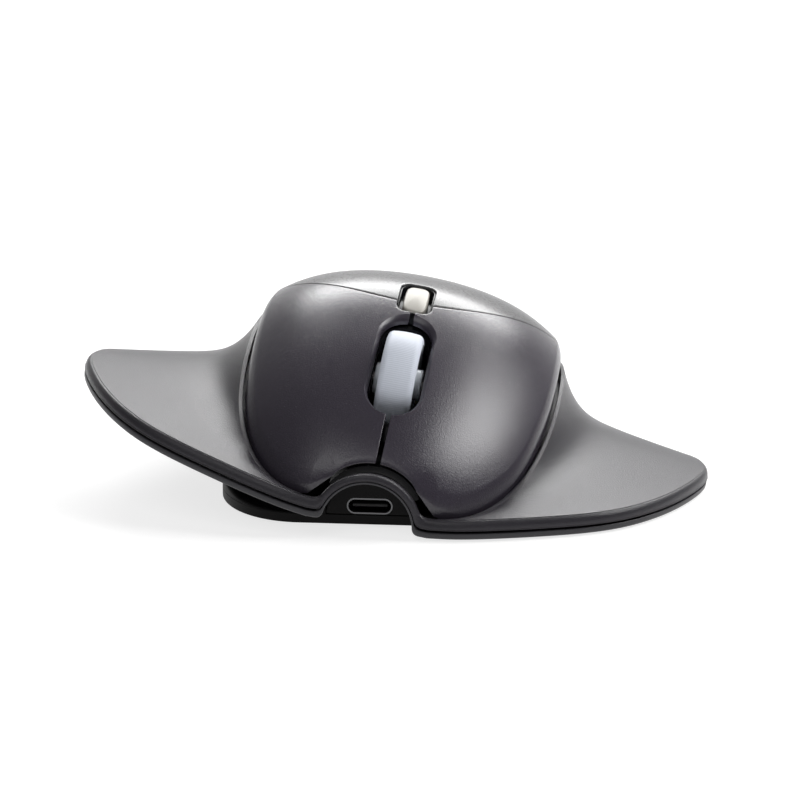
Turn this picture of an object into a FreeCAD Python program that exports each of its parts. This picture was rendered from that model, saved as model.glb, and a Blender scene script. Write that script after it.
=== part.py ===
import FreeCAD, Part
import math
import os
from FreeCAD import Vector, Rotation, Placement

# Rocking ergonomic mouse. Millimetres. +Z up, +X to the shell's side that stands lower, -Y towards the socket.
# Inside this file a point is written (x, q, z): q runs back from the plane of the arch's front edge.

doc = FreeCAD.newDocument("rocking_mouse")
sheet = doc.addObject("Spreadsheet::Sheet", "Dimensions")

CELLS = [
    # name, value, what it is
    ("axis_x", -1.73, "rocking axis, across"),
    ("front_y", -55.12, "plane of the arch's front edge"),
    ("axis_z", 2.2, "rocking axis above the desk"),
    ("rest_tilt", 9.4, "shell's lean at rest, degrees"),
    ("half_span", 64.0, "wing, middle to tip"),
    ("dome_height", 39.9, "top of the dome above the desk, level shell"),
    ("edge_thick", 3.82, "wing's edge, both shells and the gap"),
    ("lower_thick", 1.3, "lower shell"),
    ("rim_gap", 0.5, "gap between the two shells' edges"),
    ("wing_thick", 1.8, "upper shell"),
    ("dome_thick", 1.8, "button plates and palm cover"),
    ("dihedral", 9.315, "rise of the wings, degrees"),
    ("edge_low", 0.343, "underside of the wing at the middle"),
    ("groove", 0.6, "gap between dome and collar"),
    ("seam", 0.7, "gap between the two button plates"),
    ("cover_seam", 0.3, "gap between button plates and palm cover"),
    ("arch_in", 9.6, "arch, upper shell, inner radius"),
    ("arch_out", 10.7, "arch, upper shell, outer radius"),
    ("arch_low_in", 8.95, "arch, lower shell, inner radius"),
    ("arch_low_out", 9.5, "arch, lower shell, outer radius"),
    ("arch_deep", 5.0, "arch, front to back"),
    ("plate_arch", 12.6, "button plates' front edge, radius"),
    ("nose_r", 8.7, "base's round nose"),
    ("nose_front", 7.0, "nose's front face"),
    ("nose_deep", 6.0, "nose, front to back"),
    ("slot_w", 10.4, "wheel slot in the plates, across"),
    ("slot_l", 23.3, "wheel slot in the plates, along"),
    ("slot_q", 24.0, "wheel slot's middle"),
    ("bezel_w", 9.9, "wheel slot in the insert, across"),
    ("bezel_l", 22.8, "wheel slot in the insert, along"),
    ("dpi_w", 7.2, "hole of the small button, across"),
    ("dpi_l", 10.4, "hole of the small button, along"),
    ("dpi_q", 42.5, "small button's middle"),
    ("dpi_cap_w", 4.9, "small button, across"),
    ("dpi_cap_l", 9.5, "small button, along"),
    ("wheel_r", 10.0, "wheel, radius"),
    ("wheel_w", 7.2, "wheel, width"),
    ("wheel_q", 26.2, "wheel's axle"),
    ("wheel_z", 24.9, "wheel's axle"),
    ("hub_r", 8.0, "wheel's hub, radius"),
    ("axle_r", 1.0, "wheel's axle, radius"),
    ("hinge_q", 43.5, "button hinge"),
    ("hinge_z", 31.6, "button hinge"),
    ("pin_r", 0.75, "button hinge pin, radius"),
    ("base_half", 31.8, "base, half its width"),
    ("base_low", 0.8, "base's underside above the desk"),
    ("base_split", 2.6, "joint between tray and deck"),
    ("base_top", 5.4, "deck's top"),
    ("base_front", 7.0, "base's front face"),
    ("base_rear", 96.0, "base's rear end"),
    ("floor_thick", 1.0, "tray's floor"),
    ("island_top", 7.2, "deck's raised middle"),
    ("open_gap", 1.9, "gap round the base in the lower shell"),
    ("pcb_low", 2.0, "main board's underside"),
    ("pcb_thick", 0.9, "main board"),
    ("usb_z", 4.5, "socket's middle"),
    ("usb_w", 8.94, "socket's shell, across"),
    ("usb_t", 3.16, "socket's shell, height"),
    ("usb_len", 7.4, "socket's shell, length"),
    ("usb_wall", 0.28, "socket's shell, wall"),
    ("foot_thick", 0.8, "feet"),
    ("chassis_low", 10.2, "chassis plate's underside"),
    ("chassis_thick", 1.5, "chassis plate"),
    ("rail_in", 5.4, "rail's web, inner radius"),
    ("rail_mid", 10.0, "rail's flange, inner radius"),
    ("rail_out", 12.0, "rail's flange, outer radius"),
    ("rail_q", 91.0, "rail's middle"),
    ("rail_w", 6.0, "rail's flange, along"),
    ("web_w", 2.4, "rail's web, along"),
    ("run_gap", 0.15, "running clearance of rail and shoe"),
    ("switch_w", 12.8, "switch body"),
    ("switch_d", 5.8, "switch body"),
    ("switch_t", 6.5, "switch body, height"),
    ("switch_x", 16.0, "switch's middle"),
    ("switch_q", 24.0, "switch's middle"),
    ("plunger_x", 13.6, "switch plunger's middle"),
    ("batt_w", 34.0, "battery"),
    ("batt_l", 17.6, "battery"),
    ("batt_t", 6.0, "battery"),
]
for i, (name, value, note) in enumerate(CELLS):
    sheet.set("A%d" % (i + 1), name)
    sheet.set("B%d" % (i + 1), repr(value))
    sheet.set("C%d" % (i + 1), note)
    sheet.setAlias("B%d" % (i + 1), name)
doc.recompute()


def V(name):
    return float(getattr(sheet, name))


E = "Dimensions."
YAX = Vector(0, 1, 0)
LEVEL = Placement(Vector(V("axis_x"), V("front_y"), 0), Rotation())
TILT = Placement(Vector(V("axis_x"), V("front_y"), V("axis_z")), Rotation(YAX, V("rest_tilt"))).multiply(
    Placement(Vector(0, 0, -V("axis_z")), Rotation()))
ZA = V("axis_z")
nodes = []


def node(obj, name, place):
    obj.Label = name
    obj.Placement = place
    nodes.append(obj)
    return obj


# ---------------------------------------------------------------- curves of the shell

def spline(pts):
    """natural cubic through (t, v) pairs, straight outside them"""
    t = [p[0] for p in pts]
    v = [p[1] for p in pts]
    n = len(t)
    hh = [t[i + 1] - t[i] for i in range(n - 1)]
    a, b, c, d = [0.0] * n, [1.0] * n, [0.0] * n, [0.0] * n
    for i in range(1, n - 1):
        a[i], b[i], c[i] = hh[i - 1], 2 * (hh[i - 1] + hh[i]), hh[i]
        d[i] = 6 * ((v[i + 1] - v[i]) / hh[i] - (v[i] - v[i - 1]) / hh[i - 1])
    for i in range(1, n):
        w = a[i] / b[i - 1]
        b[i] -= w * c[i - 1]
        d[i] -= w * d[i - 1]
    mm = [0.0] * n
    mm[n - 1] = d[n - 1] / b[n - 1]
    for i in range(n - 2, -1, -1):
        mm[i] = (d[i] - c[i] * mm[i + 1]) / b[i]

    def f(x):
        if x <= t[0]:
            return v[0] + ((v[1] - v[0]) / hh[0] - hh[0] * (2 * mm[0] + mm[1]) / 6) * (x - t[0])
        if x >= t[-1]:
            return v[-1] + ((v[-1] - v[-2]) / hh[-1] + hh[-1] * (mm[-2] + 2 * mm[-1]) / 6) * (x - t[-1])
        i = 0
        while x > t[i + 1]:
            i += 1
        p, r = (t[i + 1] - x) / hh[i], (x - t[i]) / hh[i]
        return p * v[i] + r * v[i + 1] + ((p ** 3 - p) * mm[i] + (r ** 3 - r) * mm[i + 1]) * hh[i] ** 2 / 6
    return f


UP = V("dome_height") - 39.2        # the tables below are for a dome 39.2 high
crown = spline([(-4, 3.0), (0, 9.6), (3, 13.6), (7, 17.6), (12, 21.6), (18, 25.7), (25, 29.9), (33, 34.0), (41, 37.4),
                (46, 38.75), (52, 39.2), (61, 38.0), (70, 35.0), (80, 30.1), (90, 24.2), (98, 18.6), (104, 13.9),
                (109, 9.6)])
half = spline([(0.0, 10.8), (1.5, 13.6), (4, 17.2), (8, 21.3), (14, 25.4), (22, 28.7), (32, 30.46), (45, 30.72),
               (60, 29.9), (73, 28.2), (85, 24.8), (95, 19.6), (102, 13.4), (106.5, 6.2), (108, 0.0)])
edge = spline([(0, 6.2), (4, 7.9), (9, 10.0), (15, 12.8), (22, 16.1), (32, 21.3), (42, 26.1), (52, 29.0), (62, 28.9),
               (72, 25.6), (82, 20.7), (92, 16.2), (100, 12.4), (108, 9.2)])


def dome(x, q):
    c, e = crown(q), edge(q)
    w = max(half(min(max(q, 1.5), 100)), 8)
    r = x / w
    return c - (c - e) * (0.62 * r * r + 0.38 * r ** 4) + UP


# stations round the wing, right side, front foot to tail: collar (x, q, z), edge (x, q)
ST = [
    (12.8, 0.5, 5.3, 12.0, -1.0),
    (17.2, 2.2, 5.8, 17.8, -1.0),
    (21.5, 5.7, 6.8, 25.4, 0.5),
    (25.5, 10.8, 9.0, 33.8, 3.0),
    (28.8, 17.7, 12.3, 42.2, 6.3),
    (30.9, 27.0, 15.8, 49.8, 11.6),
    (31.9, 36.0, 19.3, 56.6, 20.4),
    (32.2, 45.0, 22.4, 61.6, 31.0),
    (32.0, 54.0, 24.2, 64.0, 41.4),
    (31.1, 63.0, 24.2, 61.6, 49.2),
    (29.6, 72.0, 22.7, 55.9, 54.6),
    (27.2, 80.5, 20.3, 49.8, 61.4),
    (24.0, 88.5, 17.0, 43.6, 70.2),
    (19.6, 96.0, 13.9, 36.8, 81.2),
    (13.8, 102.4, 11.4, 28.4, 94.6),
    (7.2, 107.0, 10.0, 15.6, 105.2),
    (0.0, 108.8, 9.6, 0.0, 111.4),
]
NS = len(ST) - 1
DIH = math.tan(math.radians(V("dihedral")))
SPAN = V("half_span") / 64.0


def along(k, odd):
    """a station column as a spline over -NS..NS round the tail, so that both sides are one smooth run"""
    v = [row[k] for row in ST]
    pts = [(i, v[i]) for i in range(NS + 1)] + [(2 * NS - i, -v[i] if odd else v[i]) for i in range(NS - 1, -1, -1)]
    return spline(pts)


CX, CQ, CZ = along(0, True), along(1, False), along(2, False)
RX, RQ = along(3, True), along(4, False)


def under_z(x):
    """the lower shell's underside"""
    return DIH * math.sqrt(x * x + 36.0) + V("edge_low")


def wing(s, r):
    """s 0..2 NS round the tail from the right foot to the left one, r 0 at the collar .. 1 at the edge"""
    cx, cq, cz = CX(s), CQ(s), CZ(s) + UP
    rx, rq = RX(s) * SPAN, RQ(s)
    rz = under_z(rx) + V("edge_thick")
    f = 1 - r
    k = 0.93 * f ** 7.35 + 0.07 * f
    # the surface is kept a little fuller between collar and edge at the tail, where it is short
    return Vector(cx + (rx - cx) * r, cq + (rq - cq) * r, rz + (cz - rz) * k)


# ---------------------------------------------------------------- building blocks

def spatch(P):
    s = Part.BSplineSurface()
    s.interpolate(P)
    return s


def outward(so):
    """a solid whose faces look outwards"""
    if so.Volume < 0:
        so.reverse()
    return so


def slab(P, Q):
    """closed solid between two like grids of points"""
    a, b = spatch(P), spatch(Q)
    u0, u1, v0, v1 = a.bounds()
    m0, m1, n0, n1 = b.bounds()
    faces = [a.toShape(), b.toShape()]
    for ca, cb in ((a.uIso(u0), b.uIso(m0)), (a.uIso(u1), b.uIso(m1)), (a.vIso(v0), b.vIso(n0)), (a.vIso(v1), b.vIso(n1))):
        faces.append(Part.makeRuledSurface(ca.toShape(), cb.toShape()))
    sh = Part.Shell(faces)
    sh.sewShape()
    return outward(Part.Solid(sh))


def layer(top, low, x0, x1, nx, q0, q1, nq):
    """solid between dome - top and dome - low, square to the dome"""
    def z(x, q, t):
        gx = (dome(x + 0.05, q) - dome(x - 0.05, q)) / 0.1
        gq = (dome(x, q + 0.05) - dome(x, q - 0.05)) / 0.1
        return dome(x, q) - t * math.sqrt(1 + min(gx * gx + gq * gq, 3.0))
    xs = [x0 + (x1 - x0) * i / nx for i in range(nx + 1)]
    qs = [q0 + (q1 - q0) * j / nq for j in range(nq + 1)]
    return slab([[Vector(x, q, z(x, q, top)) for q in qs] for x in xs],
                [[Vector(x, q, z(x, q, low)) for q in qs] for x in xs])


def curve(pts):
    c = Part.BSplineCurve()
    c.interpolate([Vector(p[0], p[1], 0) for p in pts])
    return c.toShape()


def line(a, b):
    return Part.makeLine(Vector(a[0], a[1], 0), Vector(b[0], b[1], 0))


def prism(edges, z0, z1):
    w = Part.Wire(Part.__sortEdges__(edges))
    f = Part.Face(w)
    f.translate(Vector(0, 0, z0))
    return outward(f.extrude(Vector(0, 0, z1 - z0)))


def box(x0, x1, q0, q1, z0, z1):
    return Part.makeBox(x1 - x0, q1 - q0, z1 - z0, Vector(x0, q0, z0))


def cyl_y(r, q0, q1, x=0.0, z=None):
    return Part.makeCylinder(r, q1 - q0, Vector(x, q0, ZA if z is None else z), YAX)


def cyl_x(r, x0, x1, q, z):
    return Part.makeCylinder(r, x1 - x0, Vector(x0, q, z), Vector(1, 0, 0))


def cyl_z(r, x, q, z0, z1):
    return Part.makeCylinder(r, z1 - z0, Vector(x, q, z0))


def stadium(w, l, q, z0, z1, corner=None):
    """upright block with rounded ends, w across, l along"""
    r = w / 2 - 0.001 if corner is None else corner
    b = Part.makeBox(w, l, z1 - z0, Vector(-w / 2, q - l / 2, z0))
    up = [e for e in b.Edges if abs(e.Vertexes[0].Z - e.Vertexes[1].Z) > 1]
    return b.makeFillet(r, up)


def outline(extra, z0, z1):
    """upright block inside the dome's plan outline grown by extra"""
    pts = [collar(i * 0.5, LIP + V("groove") - extra) for i in range(4 * NS + 1)]
    allp = [(p.x, p.y) for p in pts]
    return prism([curve(allp), line(allp[-1], allp[0])], z0, z1)


def feature(name, shape, place):
    if shape.ShapeType == "Compound" and len(shape.Solids) == 1:
        shape = shape.Solids[0]
    o = doc.addObject("Part::Feature", name)
    o.Shape = shape
    return node(o, name, place)


def put(kind, name, exprs, place, label=None):
    o = doc.addObject(kind, name)
    for prop, e in exprs.items():
        if isinstance(e, str):
            o.setExpression(prop, e)
        else:
            setattr(o, prop, e)
    o.Placement = place
    return o


def pb(name, lx, ly, lz, x, q, z):
    """Part box, sizes as numbers or expressions, placed by its lowest corner"""
    return put("Part::Box", name, {"Length": lx, "Width": ly, "Height": lz}, Placement(Vector(x, q, z), Rotation()))


def pc(name, r, hgt, x, q, z, axis=Vector(0, 0, 1)):
    return put("Part::Cylinder", name, {"Radius": r, "Height": hgt}, Placement(Vector(x, q, z), Rotation(Vector(0, 0, 1), axis)))


def fuse(name, *objs):
    o = doc.addObject("Part::MultiFuse", name)
    o.Shapes = list(objs)
    return o


def cut(name, a, b):
    o = doc.addObject("Part::Cut", name)
    o.Base, o.Tool = a, b
    return o


def group(name, objs, place):
    """several like solids in one node"""
    o = doc.addObject("Part::Compound", name)
    o.Links = objs
    return node(o, name, place)


# PartDesign helpers

def body(name, place):
    b = doc.addObject("PartDesign::Body", name)
    return node(b, name, place)


def plane(b, role):
    return [f for f in b.Origin.OriginFeatures if f.Role == role][0]


def sketch(b, name, role, geo, dz=0.0, dims=()):
    s = b.newObject("Sketcher::SketchObject", name)
    s.AttachmentSupport = [(plane(b, role), "")]
    s.MapMode = "FlatFace"
    s.AttachmentOffset = Placement(Vector(0, 0, dz), Rotation())
    for g in geo:
        s.addGeometry(g, False)
    return s


def L(a, b):
    return Part.LineSegment(Vector(a[0], a[1], 0), Vector(b[0], b[1], 0))


def poly(pts):
    return [L(pts[i], pts[(i + 1) % len(pts)]) for i in range(len(pts))]


def rect(x0, x1, y0, y1):
    return poly([(x0, y0), (x1, y0), (x1, y1), (x0, y1)])


def circle(x, y, r):
    return [Part.Circle(Vector(x, y, 0), Vector(0, 0, 1), r)]


def pad(b, s, name, length, rev=False):
    p = b.newObject("PartDesign::Pad", name)
    p.Profile = s
    p.Reversed = rev
    if isinstance(length, str):
        p.setExpression("Length", length)
    else:
        p.Length = length
    s.Visibility = False
    return p


def pocket(b, s, name, length, rev=False):
    p = b.newObject("PartDesign::Pocket", name)
    p.Profile = s
    p.Reversed = rev
    if isinstance(length, str):
        p.setExpression("Length", length)
    else:
        p.Length = length
    s.Visibility = False
    return p


# ---------------------------------------------------------------- base, level on the desk

BH, BF, BR = V("base_half"), V("base_front"), V("base_rear")
FX, MQ, RQ0 = 14.0, 30.0, 60.0      # flat front's half width; side starts; side ends


def ell(cx, cy, ax, ay, a0, a1):
    """quarter of an ellipse with axes along x and y, for a sketch"""
    if ax >= ay:
        e = Part.Ellipse(Vector(cx + ax, cy, 0), Vector(cx, cy + ay, 0), Vector(cx, cy, 0))
        return Part.ArcOfEllipse(e, math.radians(a0), math.radians(a1))
    e = Part.Ellipse(Vector(cx, cy + ay, 0), Vector(cx - ax, cy, 0), Vector(cx, cy, 0))
    return Part.ArcOfEllipse(e, math.radians(a0 - 90), math.radians(a1 - 90))


def base_outline(d=0.0):
    """base's plan outline, drawn in by d"""
    return [L((-FX, BF + d), (FX, BF + d)),
            ell(FX, MQ, BH - FX - d, MQ - BF - d, 270, 360),
            L((BH - d, MQ), (BH - d, RQ0)),
            ell(0, RQ0, BH - d, BR - RQ0 - d, 0, 180) if BH >= BR - RQ0 else ell(0, RQ0, BH - d, BR - RQ0 - d, 0, 180),
            L((-BH + d, RQ0), (-BH + d, MQ)),
            ell(-FX, MQ, BH - FX - d, MQ - BF - d, 180, 270)]


SCREWS_B = [(-24.0, 30.0), (24.0, 30.0), (-17.0, 78.0), (17.0, 78.0)]

b = body("base_tray", LEVEL)
s = sketch(b, "tray_outline", "XY_Plane", base_outline(), V("base_low"))
pad(b, s, "tray_block", "(" + E + "base_split - " + E + "base_low) * 1 mm")
s = sketch(b, "tray_inside", "XY_Plane", base_outline(1.6), V("base_split"))
pocket(b, s, "tray_hollow", "(" + E + "base_split - " + E + "base_low - " + E + "floor_thick) * 1 mm")
geo = []
for x, q in SCREWS_B:
    geo += circle(x, q, 2.6)
s = sketch(b, "tray_bosses", "XY_Plane", geo, V("base_low"))
pad(b, s, "tray_boss_pads", "(" + E + "base_split - " + E + "base_low) * 1 mm")
geo = []
for x, q in SCREWS_B:
    geo += circle(x, q, 0.9)
geo += rect(-4.0, 4.0, 41.5, 50.0)            # lens window
geo += rect(-19.4, -14.6, 52.6, 55.4)         # power switch slot
geo += circle(16.0, 54.0, 2.3)                # pairing button
s = sketch(b, "tray_holes", "XY_Plane", geo, V("base_split"))
pocket(b, s, "tray_cuts", 3.0)
geo = []
for x, q in SCREWS_B:
    geo += circle(x, q, 1.75)
s = sketch(b, "tray_counterbores", "XY_Plane", geo, V("base_low"))
pocket(b, s, "tray_screw_seats", 0.7, True)

b = body("base_deck", LEVEL)
s = sketch(b, "deck_outline", "XY_Plane", base_outline(), V("base_split"))
pad(b, s, "deck_block", "(" + E + "base_top - " + E + "base_split) * 1 mm")
s = sketch(b, "deck_island", "XY_Plane", rect(-7.5, 7.5, 13.0, 74.0), V("base_split"))
pad(b, s, "deck_island_block", "(" + E + "island_top - " + E + "base_split) * 1 mm")
# front corners fall away so that the rocking shell clears them
for sg, nm in ((1, "right"), (-1, "left")):
    s = b.newObject("Sketcher::SketchObject", "deck_slope_" + nm)
    s.AttachmentSupport = [(plane(b, "YZ_Plane"), "")]
    s.MapMode = "FlatFace"
    s.AttachmentOffset = Placement(Vector(0, 0, 9.6 * sg), Rotation())
    for g in poly([(5.0, 2.75), (13.5, 3.5), (18.5, 4.35), (24.0, 5.4), (24.0, 8.0), (5.0, 8.0)]):
        s.addGeometry(g, False)
    pocket(b, s, "deck_slope_cut_" + nm, 30.0, sg > 0)
# round nose: the shell's front rocks on it
s = b.newObject("Sketcher::SketchObject", "nose_round")
s.AttachmentSupport = [(plane(b, "XZ_Plane"), "")]
s.MapMode = "FlatFace"
s.AttachmentOffset = Placement(Vector(0, 0, -V("nose_front") - V("nose_deep")), Rotation())
NR = V("nose_r")
c0 = V("base_split") - ZA
a0 = math.asin(c0 / NR)
s.addGeometry(Part.ArcOfCircle(Part.Circle(Vector(0, ZA, 0), Vector(0, 0, 1), NR), a0, math.pi - a0), False)
s.addGeometry(L((-NR * math.cos(a0), ZA + c0), (NR * math.cos(a0), ZA + c0)), False)
pad(b, s, "nose_block", E + "nose_deep * 1 mm")
# under the nose's rear lip the shell's hook runs
s = b.newObject("Sketcher::SketchObject", "nose_hook_room")
s.AttachmentSupport = [(plane(b, "XZ_Plane"), "")]
s.MapMode = "FlatFace"
s.AttachmentOffset = Placement(Vector(0, 0, -13.0), Rotation())
R1, R0 = 7.4, 5.7
a1, a2 = math.asin((5.0 - ZA) / R1), math.asin((5.0 - ZA) / R0)
s.addGeometry(Part.ArcOfCircle(Part.Circle(Vector(0, ZA, 0), Vector(0, 0, 1), R1), a1, math.pi - a1), False)
s.addGeometry(Part.ArcOfCircle(Part.Circle(Vector(0, ZA, 0), Vector(0, 0, 1), R0), a2, math.pi - a2), False)
s.addGeometry(L((R0 * math.cos(a2), 5.0), (R1 * math.cos(a1), 5.0)), False)
s.addGeometry(L((-R0 * math.cos(a2), 5.0), (-R1 * math.cos(a1), 5.0)), False)
pocket(b, s, "nose_hook_groove", 2.0, True)
# behind the nose the island is rounded down to clear the hook
s = b.newObject("Sketcher::SketchObject", "island_round")
s.AttachmentSupport = [(plane(b, "XZ_Plane"), "")]
s.MapMode = "FlatFace"
s.AttachmentOffset = Placement(Vector(0, 0, -17.0), Rotation())
s.addGeometry(Part.ArcOfCircle(Part.Circle(Vector(0, ZA, 0), Vector(0, 0, 1), 5.6), math.asin((4.2 - ZA) / 5.6), math.pi - math.asin((4.2 - ZA) / 5.6)), False)
k = 5.6 * math.cos(math.asin((4.2 - ZA) / 5.6))
for g in (L((k, 4.2), (12.0, 4.2)), L((12.0, 4.2), (12.0, 12.5)), L((12.0, 12.5), (-12.0, 12.5)), L((-12.0, 12.5), (-12.0, 4.2)), L((-12.0, 4.2), (-k, 4.2))):
    s.addGeometry(g, False)
pocket(b, s, "island_round_cut", 4.0, True)
# hollows for the board
s = sketch(b, "deck_inside", "XY_Plane", poly([(-21.4, 27), (-6.6, 27), (-6.6, 13.5), (-4.9, 13.5), (-4.9, 8.0), (4.9, 8.0), (4.9, 13.5), (6.6, 13.5), (6.6, 27), (21.4, 27), (21.4, 66), (-21.4, 66)]), V("base_split") - 0.1)
pocket(b, s, "deck_hollow", 1.5, True)
s = sketch(b, "island_inside", "XY_Plane", rect(-6.4, 6.4, 18.0, 72.0), V("base_split"))
pocket(b, s, "island_hollow", "(" + E + "island_top - " + E + "base_split - 1) * 1 mm", True)
# socket tunnel, with rounded ends
ux, ut = V("usb_w") / 2 + 0.05, V("usb_t") / 2 + 0.05
s = b.newObject("Sketcher::SketchObject", "socket_tunnel")
s.AttachmentSupport = [(plane(b, "XZ_Plane"), "")]
s.MapMode = "FlatFace"
s.AttachmentOffset = Placement(Vector(0, 0, -14.6), Rotation())
uz = V("usb_z")
s.addGeometry(L((-ux + ut, uz + ut), (ux - ut, uz + ut)), False)
s.addGeometry(L((-ux + ut, uz - ut), (ux - ut, uz - ut)), False)
s.addGeometry(Part.ArcOfCircle(Part.Circle(Vector(ux - ut, uz, 0), Vector(0, 0, 1), ut), -math.pi / 2, math.pi / 2), False)
s.addGeometry(Part.ArcOfCircle(Part.Circle(Vector(-ux + ut, uz, 0), Vector(0, 0, 1), ut), math.pi / 2, 3 * math.pi / 2), False)
pocket(b, s, "socket_tunnel_cut", 9.4, True)
# slot for the ribbon, screw pilots and rail screws
geo = rect(-4.2, 4.2, 57.6, 59.4)
for x in (-4.6, 4.6):
    geo += circle(x, 82.0, 0.8)
for x, q in SCREWS_B:
    geo += circle(x, q, 0.7)
s = sketch(b, "deck_holes", "XY_Plane", geo, 9.0)
pocket(b, s, "deck_hole_cuts", 8.0)

b = body("main_pcb", LEVEL)
s = sketch(b, "board_outline", "XY_Plane", poly([(-21.0, 27.5), (-4.4, 27.5), (-4.4, 8.8), (4.4, 8.8), (4.4, 27.5), (21.0, 27.5), (21.0, 65.5), (-21.0, 65.5)]), V("pcb_low"))
pad(b, s, "board", E + "pcb_thick * 1 mm")
s = sketch(b, "board_window", "XY_Plane", rect(-4.2, 4.2, 42.0, 50.0) + rect(-19.2, -14.8, 52.8, 55.2) + circle(16.0, 54.0, 1.6), V("pcb_low") + V("pcb_thick"))
pocket(b, s, "board_windows", 3.0)
PT = V("pcb_low") + V("pcb_thick")

o = pb("chip_block", 5.0, 5.0, 0.8, -14.5, 34.0, PT + 0.02)
node(o, "soc_chip", LEVEL.multiply(o.Placement))

# socket: a folded metal shell and its tongue
uw, uh = V("usb_w"), V("usb_t")


def oblong(w, t, q0, q1, z):
    r = t / 2
    k = w / 2 - r
    return box(-k, k, q0, q1, z - r, z + r).fuse(cyl_y(r, q0, q1, -k, z)).fuse(cyl_y(r, q0, q1, k, z)).removeSplitter()


ul = V("usb_len")
sh = oblong(uw, uh, 6.95, 6.95 + ul, uz).cut(oblong(uw - 2 * V("usb_wall"), uh - 2 * V("usb_wall"), 6.0, 6.65 + ul, uz))
feature("usb_c_shell", sh, LEVEL)
t = box(-3.35, 3.35, 7.7, 6.6 + ul, uz - 0.35, uz + 0.35)
t = t.makeFillet(0.25, [e for e in t.Edges if abs(e.Vertexes[0].X - e.Vertexes[1].X) > 5 and e.Vertexes[0].Y < 8])
feature("usb_c_tongue", t, LEVEL)

SB = pb("sensor_block", 9.0, 9.0, 2.4, -4.5, 41.5, PT + 0.02)
node(SB, "optical_sensor", LEVEL.multiply(SB.Placement))
lens = box(-3.9, 3.9, 42.2, 49.8, 1.25, 1.75).fuse(cyl_z(1.6, 0, 46.0, 1.2, 2.8)).removeSplitter()
feature("sensor_lens", lens, LEVEL)

PS = pb("power_box", 6.4, 3.0, 0.9, -20.2, 52.5, PT + 0.02)
node(PS, "power_switch_housing", LEVEL.multiply(PS.Placement))
kn = box(-18.6, -16.6, 53.0, 55.0, 1.0, 2.85)
for xx in (-18.2, -17.6, -17.0):
    kn = kn.cut(box(xx - 0.12, xx + 0.12, 52.9, 55.1, 0.9, 1.2))
feature("power_switch_knob", kn, LEVEL)
PK = pb("pair_box", 3.0, 3.0, 0.9, 14.5, 52.5, PT + 0.02)
node(PK, "pair_switch", LEVEL.multiply(PK.Placement))
pbn = fuse("pair_cap_shape", pc("pair_cap", 2.15, 0.75, 16.0, 54.0, 1.0), pc("pair_stem", 1.3, 1.1, 16.0, 54.0, 1.4))
node(pbn, "pair_button", LEVEL)
CB = pb("ffc_low", 7.6, 3.0, 1.9, -3.8, 57.0, PT + 0.02)
node(CB, "ffc_connector_base", LEVEL.multiply(CB.Placement))

# feet: a crescent in front, one at the rear
b = body("front_foot", LEVEL)
s = sketch(b, "front_foot_outline", "XY_Plane", poly([(-22, 12), (22, 12), (25, 16), (25, 19), (15, 22), (-15, 22), (-25, 19), (-25, 16)]), 0.0)
pad(b, s, "front_foot_pad", E + "foot_thick * 1 mm - 0.02 mm")
b = body("rear_foot", LEVEL)
s = sketch(b, "rear_foot_outline", "XY_Plane", poly([(-17, 83), (17, 83), (15, 88), (9, 91.5), (-9, 91.5), (-15, 88)]), 0.0)
pad(b, s, "rear_foot_pad", E + "foot_thick * 1 mm - 0.02 mm")

# screws: one node per kind
parts = []
for i, (x, q) in enumerate(SCREWS_B):
    hd = pc("base_screw_head_%d" % i, 1.6, 0.5, x, q, 0.95)
    sk = pc("base_screw_shank_%d" % i, 0.66, 2.9, x, q, 1.4)
    so = pc("base_screw_socket_%d" % i, 0.6, 0.25, x, q, 0.95)
    parts.append(cut("base_screw_%d" % i, fuse("base_screw_body_%d" % i, hd, sk), so))
group("base_screws", parts, LEVEL)

# rear rail: a T section bent round the rocking axis
RI, RM, RO = V("rail_in"), V("rail_mid"), V("rail_out")
RQM, RW, WW = V("rail_q"), V("rail_w"), V("web_w")


def sector(r0, r1, q0, q1, a0, a1):
    """ring sector about the rocking axis; angles from upright, + to the right"""
    full = cyl_y(r1, q0, q1).cut(cyl_y(r0, q0 - 1, q1 + 1))
    pts = [(0, 0)]
    n = 8
    for i in range(n + 1):
        a = math.radians(a0 + (a1 - a0) * i / n)
        pts.append((3 * r1 * math.sin(a), 3 * r1 * math.cos(a)))
    w = Part.makePolygon([Vector(p[0], q0 - 0.5, ZA + p[1]) for p in pts] + [Vector(0, q0 - 0.5, ZA)])
    return full.common(outward(Part.Face(w).extrude(Vector(0, q1 - q0 + 1, 0))))


rail = sector(RI, RM + 0.3, RQM - WW / 2, RQM + WW / 2, -34, 34)
rail = rail.fuse(sector(RM, RO, RQM - RW / 2, RQM + RW / 2, -34, 34))
foot = box(-6.2, 6.2, 80.2, RQM + WW / 2, V("base_top") + 0.02, V("base_top") + 1.5)
rail = rail.fuse(foot)
for x in (-4.6, 4.6):
    rail = rail.cut(cyl_z(0.95, x, 82.0, 5, 8))
# end stops stand on the flange
ST0 = 18 + V("rest_tilt") + 0.05
for sg in (-1, 1):
    lo, hi = (ST0, 34) if sg > 0 else (-34, -ST0)
    rail = rail.fuse(sector(RM + 0.5, RO + 1.3, RQM - RW / 2, RQM + RW / 2, lo, hi))
rail = rail.cut(box(-20, 20, 70, 100, 0, V("base_top") + 0.02)).removeSplitter()
feature("rear_rail", rail, LEVEL)
parts = []
for i, x in enumerate((-4.6, 4.6)):
    hd = pc("rail_screw_head_%d" % i, 1.5, 0.9, x, 82.0, V("base_top") + 1.53)
    sk = pc("rail_screw_shank_%d" % i, 0.75, 3.0, x, 82.0, V("base_top") - 1.4)
    so = pc("rail_screw_socket_%d" % i, 0.6, 0.5, x, 82.0, V("base_top") + 1.95)
    parts.append(cut("rail_screw_%d" % i, fuse("rail_screw_body_%d" % i, hd, sk), so))
group("rail_screws", parts, LEVEL)

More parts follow.
